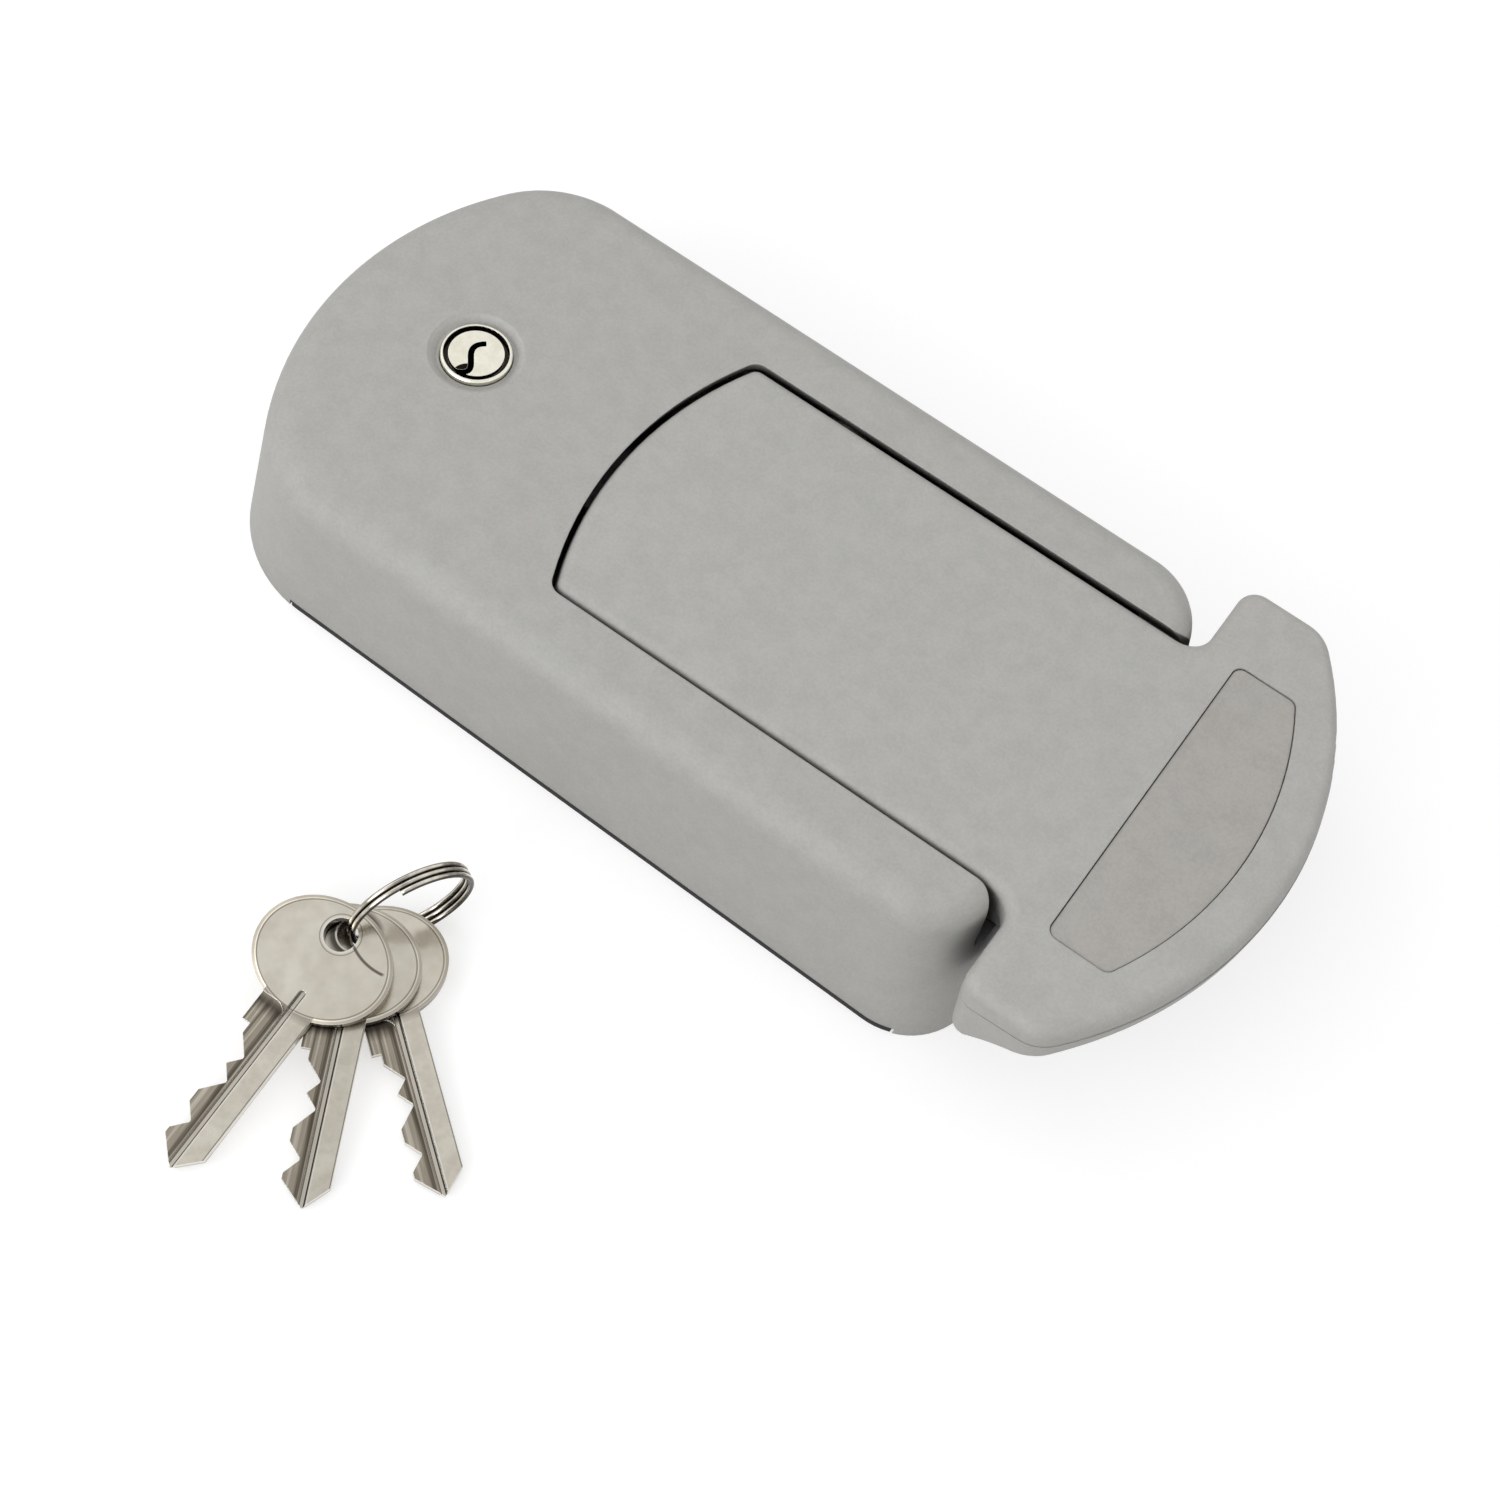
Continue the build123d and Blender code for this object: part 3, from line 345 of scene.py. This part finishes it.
def length_of(tree, a, b):
    """Length of the vector of two values."""
    total = maths(tree, "ADD", product(tree, a, a), product(tree, b, b))
    return maths(tree, "POWER", total, 0.5)


def ellipse_distance(tree, u, v, center, halves):
    """1 on the rim of an ellipse with these half axes, less inside."""
    a = maths(tree, "DIVIDE", maths(tree, "SUBTRACT", u, center[0]), halves[0])
    b = maths(tree, "DIVIDE", maths(tree, "SUBTRACT", v, center[1]), halves[1])
    return length_of(tree, a, b)


def lock_radius(tree):
    """Distance from the lock cylinder's axis, in millimetres."""
    x = distance_along(tree, FACE_X, FACE_ORIGIN)
    y = distance_along(tree, ACROSS, FACE_ORIGIN)
    return length_of(tree, x, y)


def band(tree, value, low, high, soft):
    """1 where a value lies between low and high, falling to 0 over the soft width."""
    rise = spread(tree, value, low - soft, low)
    fall = spread(tree, value, high, high + soft, 1.0, 0.0)
    return product(tree, rise, fall)


def soft_normal(tree, radius):
    """Surface normal, rounded over the edges by a radius."""
    node = tree.nodes.new("ShaderNodeBevel")
    node.samples = NODE_SAMPLES
    node.inputs["Radius"].default_value = radius * MM
    return node.outputs[0]


def edge_mask(tree, radius):
    """1 where an edge is within the radius, 0 on plain faces."""
    plain = tree.nodes.new("ShaderNodeNewGeometry")
    value, other = dot_product(tree, soft_normal(tree, radius))
    tree.links.new(plain.outputs["Normal"], other)
    return spread(tree, value, 0.995, 0.86)


def crevice_shade(tree, reach, depth, low=0.12, high=0.62):
    """Painted shade: a factor of 1 on open faces that falls to depth in gaps narrower than reach."""
    node = tree.nodes.new("ShaderNodeAmbientOcclusion")
    node.samples = NODE_SAMPLES
    node.inputs["Distance"].default_value = reach * MM
    return spread(tree, node.outputs["AO"], low, high, depth, 1.0)


def dress(tree, shader, base, gloss, relief, depth, soft=0.0, metallic=1.0):
    """Give a shader its colour, roughness and relief, over edges softened by a radius."""
    shader.inputs["Metallic"].default_value = metallic
    tree.links.new(base, shader.inputs["Base Color"])
    tree.links.new(gloss, shader.inputs["Roughness"])
    node = tree.nodes.new("ShaderNodeBump")
    node.inputs["Distance"].default_value = depth * MM
    tree.links.new(relief, node.inputs["Height"])
    if soft:
        tree.links.new(soft_normal(tree, soft), node.inputs["Normal"])
    tree.links.new(node.outputs[0], shader.inputs["Normal"])


# Plastic and rubber

def inlay_line(tree):
    """Keeps the painted shade in the shallow line round the crossbar's inlay lighter than in a deep gap."""
    beyond = spread(tree, distance_along(tree, ALONG, ALONG * INLAY_START * MM), 0, 2)
    near_top = spread(tree, distance_along(tree, FACE_Z, FACE_ORIGIN), -1.0, -0.7)
    return product(tree, beyond, near_top, 0.7)


def lock_dimple(tree):
    """Painted shade and light of the dimple round the lock: darker at the rim, lighter at its own edge."""
    radius = lock_radius(tree)
    shade = spread(tree, radius, *DIMPLE_RADII, 0.72, 1.09)
    within = spread(tree, radius, DIMPLE_EDGE, DIMPLE_EDGE + 0.25, 1.0, 0.0)
    return product(tree, shade, within)


def moulded(name, colour, edge=0.4, cloud=0.07, grain=0.016, rough=(0.50, 0.62), gap=0.2, spare=None):
    """Matt moulded plastic: mottled tone, leather grain, edges painted paler as a highlight, and painted shade in
    its gaps and under overhanging parts.
    """
    mat, tree, shader = new_material(name)
    place = coords(tree)
    broad = noise(tree, place, *PLASTIC_CLOUD)
    mottle = noise(tree, place, *PLASTIC_MOTTLE)
    fine = noise(tree, place, *PLASTIC_GRAIN)
    speck = noise(tree, place, *PLASTIC_SPECK)
    half_mottle = spread(tree, mottle, 0.4, 0.6, 0, 0.5)
    tone = maths(tree, "ADD", half_mottle, spread(tree, fine, 0.4, 0.6, 0, 0.5))
    cool = (colour[0] * 0.996, colour[1], colour[2] * 1.004)
    warm = (colour[0] * 1.004, colour[1], colour[2] * 0.992)
    hue = spread(tree, broad, 0.4, 0.6)
    dark = mixed(tree, hue, tint(cool, 1 - cloud), tint(warm, 1 - cloud))
    light = mixed(tree, hue, tint(cool, 1 + cloud), tint(warm, 1 + cloud))
    base = mixed(tree, tone, dark, light)
    # Edges painted paler as a highlight
    base = painted(tree, base, edge_mask(tree, edge), 0.3, tint(colour, 1.25))
    # Painted shade: dark in narrow gaps, with a wider painted shadow where one part overhangs another
    painted_shade = product(tree, crevice_shade(tree, 5, gap, 0.03, 0.42), crevice_shade(tree, 20, 0.14, 0.08, 0.5))
    # The spare factor lifts this painted shade in places, and where it goes above 1 it paints light
    if spare:
        painted_shade = maths(tree, "MAXIMUM", painted_shade, spare(tree))
    base = shaded(tree, base, painted_shade)
    shader.inputs["Specular IOR Level"].default_value = 0.36
    gloss = spread(tree, mottle, 0.25, 0.75, *rough)
    relief = maths(tree, "ADD", product(tree, speck, 0.4), fine)
    dress(tree, shader, base, gloss, relief, grain, edge, metallic=0.0)
    return mat


def rubber(name, colour):
    """Matt rubber with a pebbled skin."""
    mat, tree, shader = new_material(name)
    pebble = noise(tree, coords(tree), *RUBBER_PEBBLE)
    base = mixed(tree, spread(tree, pebble, 0.3, 0.7), tint(colour, 0.75), tint(colour, 1.3))
    gloss = spread(tree, pebble, 0.2, 0.8, 0.7, 0.9)
    dress(tree, shader, base, gloss, pebble, 0.03, metallic=0.0)
    return mat


# Metals

def brushed(name, colour, rough, turn=0.0):
    """Plated or bare metal with drawn lines along one heading, smudges and bright edges."""
    mat, tree, shader = new_material(name)
    streak = noise(tree, coords(tree, STREAK_STRETCH, turn), *METAL_STREAK)
    place = coords(tree)
    cloud = noise(tree, place, *METAL_CLOUD)
    pits = noise(tree, place, *METAL_PITS)
    cloudy = spread(tree, cloud, 0.3, 0.72, 0, 0.6)
    tone = maths(tree, "ADD", cloudy, spread(tree, streak, 0.3, 0.7, 0, 0.4))
    base = mixed(tree, tone, tint(colour, 0.84), tint(colour, 1.08))
    base = painted(tree, base, edge_mask(tree, 0.12), 0.6, BRIGHT_EDGE)
    # Painted shade in narrow gaps
    base = shaded(tree, base, crevice_shade(tree, 1.6, 0.12))
    gloss = spread(tree, tone, 0.2, 0.9, rough[1], rough[0])
    relief = maths(tree, "ADD", streak, product(tree, pits, 0.35))
    dress(tree, shader, base, gloss, relief, 0.004, 0.12)
    return mat


def lock_metal(name):
    """Cream plated lock: polished face and rim, with the groove between them painted black as shade."""
    mat, tree, shader = new_material(name)
    cloud = noise(tree, coords(tree), *LOCK_CLOUD)
    base = mixed(tree, spread(tree, cloud, 0.34, 0.66), LOCK.dull, LOCK.bright)
    radius = lock_radius(tree)
    groove = band(tree, radius, *GROOVE_RADII, 0.07)
    mouth_u = FACE_X * math.sin(MOUTH_TURN) + ACROSS * math.cos(MOUTH_TURN)
    mouth_v = FACE_X * math.cos(MOUTH_TURN) - ACROSS * math.sin(MOUTH_TURN)
    u = distance_along(tree, mouth_u, FACE_ORIGIN)
    v = distance_along(tree, mouth_v, FACE_ORIGIN)
    mouth = ellipse_distance(tree, u, v, MOUTH_CENTER, MOUTH_HALVES)
    below = spread(tree, distance_along(tree, FACE_Z, FACE_ORIGIN), -0.75, -0.55, 1.0, 0.0)
    within = spread(tree, radius, RIM_RADIUS, RIM_RADIUS + 0.05, 1.0, 0.0)
    coats = [
        # Groove painted black as shade
        (groove, 0.96, LOCK.groove),
        # Keyway's mouth painted black as the shade of a deeper opening
        (spread(tree, mouth, 0.9, 1.05, 1.0, 0.0), 1.0, LOCK.mouth),
        # Surfaces sunk below the face inside the rim painted dark as shade
        (product(tree, below, within), 0.9, LOCK.inside),
        # Edges painted bright as a highlight
        (edge_mask(tree, 0.14), 0.6, LOCK.edge),
    ]
    # Painted shade in narrow gaps
    base = shaded(tree, coated(tree, base, coats), crevice_shade(tree, 1.2, 0.12))
    dress(tree, shader, base, spread(tree, cloud, 0.3, 0.7, 0.12, 0.22), cloud, 0.004, 0.12)
    return mat


def ring_metal(name, axis):
    """Nickel wire of the key ring, its sides painted dark as a reflection where its turns face each other."""
    mat, tree, shader = new_material(name)
    place = coords(tree)
    cloud = noise(tree, place, *WIRE_CLOUD)
    stain = noise(tree, place, *WIRE_STAIN)
    base = mixed(tree, spread(tree, cloud, 0.34, 0.66), WIRE.dull, WIRE.bright)
    coats = [
        (spread(tree, stain, 0.5, 0.62), 0.6, WIRE.stain),
        # Sides painted dark as a reflection
        (spread(tree, facing(tree, axis), 0.34, 0.74), 0.96, WIRE.between),
    ]
    # Painted shade in narrow gaps
    base = shaded(tree, coated(tree, base, coats), crevice_shade(tree, 1.4, 0.1))
    dress(tree, shader, base, spread(tree, cloud, 0.3, 0.7, 0.14, 0.26), cloud, 0.004)
    return mat


# Keys

def key_places(tree, hole, normal):
    """A key's own measures and the masks of its head, blade, groove, faces and walls."""
    side = UP.cross(normal).normalized()
    blade = side.cross(normal)
    u = distance_along(tree, blade, hole)
    v = distance_along(tree, side, hole)
    flat = facing(tree, normal)
    on_face = spread(tree, flat, 0.97, 0.99)
    past_head = spread(tree, u, *BLADE_START)
    return SimpleNamespace(
        u=u,
        v=v,
        layer=distance_along(tree, normal, hole),
        flat=flat,
        on_face=on_face,
        wall=spread(tree, flat, 0.45, 0.7, 1.0, 0.0),
        on_head=spread(tree, u, *HEAD_END, 1.0, 0.0),
        past_head=past_head,
        in_groove=spread(tree, u, *GROOVE_START),
        recess=product(tree, band(tree, v, -9, 0.42, 0.08), past_head, on_face),
    )


def blade_coats(tree, key, mist, drawn):
    """Milled blade: streaked recess painted darker as shade, painted shade near the head and along the back, the
    groove's painted shade lines and highlight, smoky flat.
    """
    dark_streaks = spread(tree, drawn, 0.51, 0.57)
    light_streaks = spread(tree, drawn, 0.46, 0.40)
    smoke = spread(tree, mist, 0.44, 0.62)
    # Painted shade where the recess meets the head
    throat = spread(tree, key.u, 17.2, 19.4, 1.0, 0.0)
    # Painted highlight along the groove's lip
    lip_highlight = product(tree, band(tree, key.v, 1.72, 1.84, 0.07), key.in_groove, key.on_face)
    # Painted shade along the blade's back
    back_line = product(tree, band(tree, key.v, 5.12, 6.0, 0.1), key.on_face, key.past_head)
    coats = [
        (product(tree, key.past_head, key.on_face, smoke), 0.3, KEY.smoke),
        # Recess painted darker as shade
        (key.recess, 0.85, KEY.recess),
        (product(tree, key.recess, dark_streaks), 0.72, KEY.recess_dark),
        (product(tree, key.recess, light_streaks), 0.75, KEY.recess_light),
        # Painted shade line inside the recess
        (product(tree, key.recess, band(tree, key.v, -0.45, -0.1, 0.2)), 0.7, KEY.recess_line),
        (product(tree, key.recess, throat), 0.85, KEY.throat),
    ]
    for low, high, soft, strength, colour in GROOVE_LINES:
        line = product(tree, band(tree, key.v, low, high, soft), key.in_groove)
        coats.append((line, strength, colour))
    return coats + [(lip_highlight, 0.8, KEY.lip_highlight), (back_line, 0.75, KEY.back_line)]


def head_coats(tree, key):
    """Head: a line inside the rim, a rim and side walls, all painted dark as shade and dark reflection."""
    rim = ellipse_distance(tree, key.u, key.v, HEAD_CENTER, HEAD_HALVES)
    return [
        (product(tree, band(tree, rim, 0.922, 0.936, 0.008), key.on_head), 0.7, KEY.head_line),
        (product(tree, band(tree, rim, 0.962, 1.1, 0.012), key.on_head), 0.62, KEY.head_rim),
        (product(tree, key.wall, key.on_head), 0.92, KEY.head_wall),
    ]


def wall_coats(tree, key):
    """Blade's side walls: painted bright as a reflection, with cutter lines and a foot painted dark as shade."""
    on_wall = product(tree, key.wall, key.past_head)
    lines = noise(tree, combined(tree, key.u, key.layer, 0.06, 1.6), *LINES_ON_KEY)
    foot = spread(tree, key.layer, -0.75, -0.95)
    return [
        (on_wall, 0.75, KEY.wall),
        (product(tree, on_wall, spread(tree, lines, 0.5, 0.58)), 0.6, KEY.wall_lines),
        (product(tree, on_wall, foot), 0.7, KEY.wall_foot),
    ]


def hole_coats(tree, key, is_top):
    """Hole's rim: a painted dark line and a painted highlight, and on the keys that lie under another one a
    painted shade round the hole.
    """
    rim = ellipse_distance(tree, key.u, key.v, (0, 0), HOLE_HALVES)
    coats = [(band(tree, rim, 1.2, 1.24, 0.03), 0.6, KEY.hole_line)]
    if not is_top:
        coats.append((spread(tree, rim, 1.35, 1.75, 1.0, 0.0), 0.9, KEY.hole_shade))
    rim_highlight = product(tree, band(tree, rim, 1.03, 1.1, 0.03), key.on_face)
    coats.append((rim_highlight, 0.7, KEY.lip_highlight))
    return coats


def scratch_coats(tree, key):
    """Curved scratch on the top key's head."""
    arc = ellipse_distance(tree, key.u, key.v, SCRATCH_CENTER, SCRATCH_HALVES)
    width = band(tree, arc, 0.97, 1.0, 0.018)
    ends = band(tree, key.v, 3.3, 10.3, 0.5)
    mark = product(tree, width, ends, spread(tree, key.u, -0.5, 0.3))
    return [(mark, 0.85, KEY.head_wall)]


def key_metal(name, hole, normal, is_top):
    """Polished nickel of one key: smoky clouds, painted shade and highlights on the head, blade and hole, and a
    streaked milled blade.
    """
    mat, tree, shader = new_material(name)
    key = key_places(tree, hole, normal)
    cloud = noise(tree, combined(tree, key.u, key.v), *CLOUD_ON_KEY)
    mist = noise(tree, combined(tree, key.u, key.v), *MIST_ON_KEY)
    drawn = noise(tree, combined(tree, key.u, key.v, 0.02, 0.75), *DRAWN_ON_KEY)
    cloudy = spread(tree, cloud, 0.34, 0.66, 0, 0.7)
    tone = maths(tree, "ADD", cloudy, spread(tree, mist, 0.32, 0.68, 0, 0.3))
    coats = blade_coats(tree, key, mist, drawn) + head_coats(tree, key) + wall_coats(tree, key)
    coats += hole_coats(tree, key, is_top)
    if is_top:
        coats += scratch_coats(tree, key)
    # Edges painted bright as a highlight
    coats.append((edge_mask(tree, 0.16), 0.7, KEY.edge))
    base = coated(tree, mixed(tree, tone, KEY.dull, KEY.bright), coats)
    # Painted shade in gaps between the keys, kept off the groove's open floor so that it stays light
    open_groove = product(tree, band(tree, key.v, 0.66, 1.22, 0.06), key.in_groove, 0.85)
    painted_shade = maths(tree, "MAXIMUM", crevice_shade(tree, 2.4, 0.06, 0.05, 0.45), open_groove)
    gloss = spread(tree, cloud, 0.3, 0.7, 0.24, 0.16)
    gloss = maths(tree, "ADD", gloss, product(tree, key.recess, 0.08))
    chamfer = product(tree, band(tree, key.flat, 0.9, 0.965, 0.01), key.on_head)
    gloss = maths(tree, "ADD", gloss, product(tree, chamfer, 0.2))
    wave = product(tree, noise(tree, combined(tree, key.u, key.v), *WAVE_ON_KEY), 22.0)
    relief = maths(tree, "ADD", wave, product(tree, key.recess, drawn, 1.6))
    dress(tree, shader, shaded(tree, base, painted_shade), gloss, relief, 0.012, 0.1)
    return mat


# Materials by slot; each key has its own, laid out from the axis that it swings about
looks = {
    "housing_plastic": moulded("housing_plastic_look", GREY, gap=0.34, spare=lock_dimple),
    "handle_plastic": moulded("handle_plastic_look", tint(GREY, 1.03), gap=0.14, spare=inlay_line),
    "inlay_plastic": moulded("inlay_plastic_look", INLAY_GREY, 0.2, 0.07, 0.02, (0.56, 0.68), 0.6),
    "bush_plastic": moulded("bush_plastic_look", BUSH_WHITE, 0.2, 0.04, 0.006, (0.4, 0.5)),
    "black_rubber": rubber("black_rubber_look", RUBBER_BLACK),
    "zinc_steel": brushed("zinc_steel_look", (0.62, 0.63, 0.62), (0.3, 0.46)),
    "bright_steel": brushed("bright_steel_look", (0.68, 0.67, 0.65), (0.16, 0.3)),
    "spring_steel": brushed("spring_steel_look", (0.5, 0.49, 0.47), (0.2, 0.36)),
    "bolt_zinc": brushed("bolt_zinc_look", (0.6, 0.6, 0.58), (0.28, 0.42), math.radians(90)),
    "nickel": lock_metal("nickel_look"),
    "ring_steel": ring_metal("ring_steel_look", RING_AXIS),
}
for name, obj in nodes.items():
    if slot_of[name] == "key_nickel":
        swing = joints[f"{name}_swing"]
        hole, normal = Vector(swing["pos_m"]), Vector(swing["axis"])
        mat = key_metal(f"{name}_look", hole, normal, name == "key_1")
    else:
        mat = looks[slot_of[name]]
    obj.data.materials.clear()
    obj.data.materials.append(mat)


# Split ring and spring: smooth wound wire in place of the faceted solids

def bridge(bm, loops):
    """Faces between neighbouring loops of vertices, each loop closed."""
    for a, b in zip(loops, loops[1:]):
        for k in range(len(a)):
            after = (k + 1) % len(a)
            bm.faces.new((a[k], a[after], b[after], b[k]))


def smooth_object(name, bm):
    """A smooth mesh object in the scene from a finished bmesh."""
    for face in bm.faces:
        face.smooth = True
    mesh = bpy.data.meshes.new(name)
    bm.to_mesh(mesh)
    bm.free()
    obj = bpy.data.objects.new(name, mesh)
    bpy.context.scene.collection.objects.link(obj)
    return obj


def tube(name, points, radius, sides=20):
    """Mesh tube of round wire along points, closed by a flat face at each end."""
    bm = bmesh.new()
    loops = []
    count = len(points)
    normal = (points[1] - points[0]).orthogonal().normalized()
    for i, point in enumerate(points):
        ahead = (points[min(i + 1, count - 1)] - points[max(i - 1, 0)]).normalized()
        normal = (normal - ahead * normal.dot(ahead)).normalized()
        side = ahead.cross(normal)
        loop = []
        for k in range(sides):
            angle = 2 * math.pi * k / sides
            outward = normal * math.cos(angle) + side * math.sin(angle)
            loop.append(bm.verts.new(point + outward * radius))
        loops.append(loop)
    bridge(bm, loops)
    bm.faces.new(list(reversed(loops[0])))
    bm.faces.new(loops[-1])
    return smooth_object(name, bm)


def wound(center, x_dir, z_dir, radius, wire, turns, length, per_turn=96, start=0.0):
    """Points of a helix: it starts at an angle from x_dir and climbs along z_dir."""
    y_dir = z_dir.cross(x_dir)
    total = round(per_turn * turns)
    points = []
    for i in range(total + 1):
        angle = start + 2 * math.pi * i / per_turn
        climb = wire + (length - 2 * wire) * i / total - length / 2
        around = x_dir * math.cos(angle) * radius + y_dir * math.sin(angle) * radius
        points.append(center + around + z_dir * climb)
    return points


ring_points = wound(
    RING_CENTER * MM,
    Vector((RING_AXIS.y, -RING_AXIS.x, 0)),
    RING_AXIS,
    RING_RADIUS * MM,
    RING_WIRE * MM,
    RING_TURNS,
    RING_LENGTH * MM,
    start=RING_START,
)
ring = tube("split_ring_wire", ring_points, RING_WIRE * MM)
ring.data.materials.append(looks["ring_steel"])
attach(ring, "key_ring")
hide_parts("split_ring")

lo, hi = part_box("bolt_spring")
spring_mid = (lo + hi) / 2
spring_points = wound(
    spring_mid,
    ALONG,
    ACROSS,
    SPRING_RADIUS * MM,
    SPRING_WIRE * MM,
    SPRING_TURNS,
    hi.y - lo.y,
    per_turn=48,
)
spring = tube("bolt_spring_wire", spring_points, SPRING_WIRE * MM, sides=14)
spring.data.materials.append(looks["spring_steel"])
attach(spring, "case")
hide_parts("bolt_spring")
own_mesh(spring)


# Camera: its three directions are turned by the face's slope into the object's frame
cam_data = bpy.data.cameras.new("camera")
cam_data.lens = CAMERA_LENS
cam_data.sensor_width = 36.0
cam_data.clip_start = 0.01
camera = bpy.data.objects.new("camera", cam_data)
bpy.context.scene.collection.objects.link(camera)
tilt = Matrix.Rotation(-math.atan(FACE_RISE), 3, "Y")
right, down, ahead = (tilt @ Vector(row) for row in (CAMERA_RIGHT, CAMERA_DOWN, CAMERA_AHEAD))
turn = Matrix((right, -down, -ahead)).transposed()
camera.matrix_world = Matrix.Translation(Vector(CAMERA_PLACE) * MM) @ turn.to_4x4()
bpy.context.scene.camera = camera


# Floor and soft studio light

def floor_white():
    """Grey diffuse floor with a glow that only the camera and reflections see, so it looks white."""
    mat = bpy.data.materials.new("studio_floor_white")
    mat.use_nodes = True
    tree = mat.node_tree
    tree.nodes.clear()
    out = tree.nodes.new("ShaderNodeOutputMaterial")
    diffuse = tree.nodes.new("ShaderNodeBsdfDiffuse")
    diffuse.inputs["Color"].default_value = (FLOOR_GREY, FLOOR_GREY, FLOOR_GREY, 1)
    glow = tree.nodes.new("ShaderNodeEmission")
    rays = tree.nodes.new("ShaderNodeLightPath")
    seen = maths(tree, "MAXIMUM", rays.outputs["Is Camera Ray"], rays.outputs["Is Glossy Ray"])
    seen = maths(tree, "MAXIMUM", seen, rays.outputs["Is Transmission Ray"])
    tree.links.new(product(tree, seen, FLOOR_GLOW), glow.inputs["Strength"])
    add = tree.nodes.new("ShaderNodeAddShader")
    tree.links.new(diffuse.outputs[0], add.inputs[0])
    tree.links.new(glow.outputs[0], add.inputs[1])
    tree.links.new(add.outputs[0], out.inputs["Surface"])
    return mat


def backdrop():
    """A wide pale floor that curves up far out on every side."""
    bm = bmesh.new()
    loops = []
    for radius, height in FLOOR_PROFILE:
        loop = []
        for k in range(FLOOR_SIDES):
            angle = 2 * math.pi * k / FLOOR_SIDES
            loop.append(bm.verts.new((radius * math.cos(angle), radius * math.sin(angle), height)))
        loops.append(loop)
    bm.faces.new(loops[0])
    bridge(bm, loops)
    bmesh.ops.recalc_face_normals(bm, faces=bm.faces)
    obj = smooth_object("studio_floor", bm)
    obj.data.materials.append(floor_white())


def soft_light(name, place, size, power):
    """A rectangular area lamp aimed at the middle of the scene."""
    data = bpy.data.lights.new(name, "AREA")
    data.shape = "RECTANGLE"
    data.size, data.size_y = size
    data.energy = power
    lamp = bpy.data.objects.new(name, data)
    bpy.context.scene.collection.objects.link(lamp)
    lamp.location = place
    lamp.rotation_euler = (-Vector(place)).to_track_quat("-Z", "Y").to_euler()


def overcast_sky():
    """A pale world, brightest at the horizon."""
    world = bpy.data.worlds.new("studio")
    bpy.context.scene.world = world
    world.use_nodes = True
    tree = world.node_tree
    tree.nodes.clear()
    out = tree.nodes.new("ShaderNodeOutputWorld")
    background = tree.nodes.new("ShaderNodeBackground")
    direction = tree.nodes.new("ShaderNodeTexCoord")
    split = tree.nodes.new("ShaderNodeSeparateXYZ")
    tree.links.new(direction.outputs["Generated"], split.inputs[0])
    ramp = tree.nodes.new("ShaderNodeValToRGB")
    stops = ramp.color_ramp.elements
    first, *between, last = SKY_LEVELS
    for stop, (place, level) in zip(stops, (first, last)):
        stop.position = place
        stop.color = (level, level, level, 1)
    for place, level in between:
        stops.new(place).color = (level, level, level, 1)
    tree.links.new(split.outputs["Z"], ramp.inputs[0])
    tree.links.new(ramp.outputs[0], background.inputs["Color"])
    tree.links.new(background.outputs[0], out.inputs["Surface"])


backdrop()
soft_light("softbox_key", place=(-1.2, 0.16, 1.04), size=(0.9, 0.7), power=2.0)
soft_light("softbox_fill", place=(-0.2, -0.62, 0.38), size=(0.7, 0.36), power=2.0)
overcast_sky()

view = bpy.context.scene.view_settings
view.view_transform = "Standard"


def plain(box):
    """The two corners of a box as lists."""
    return [[float(value) for value in corner] for corner in box]
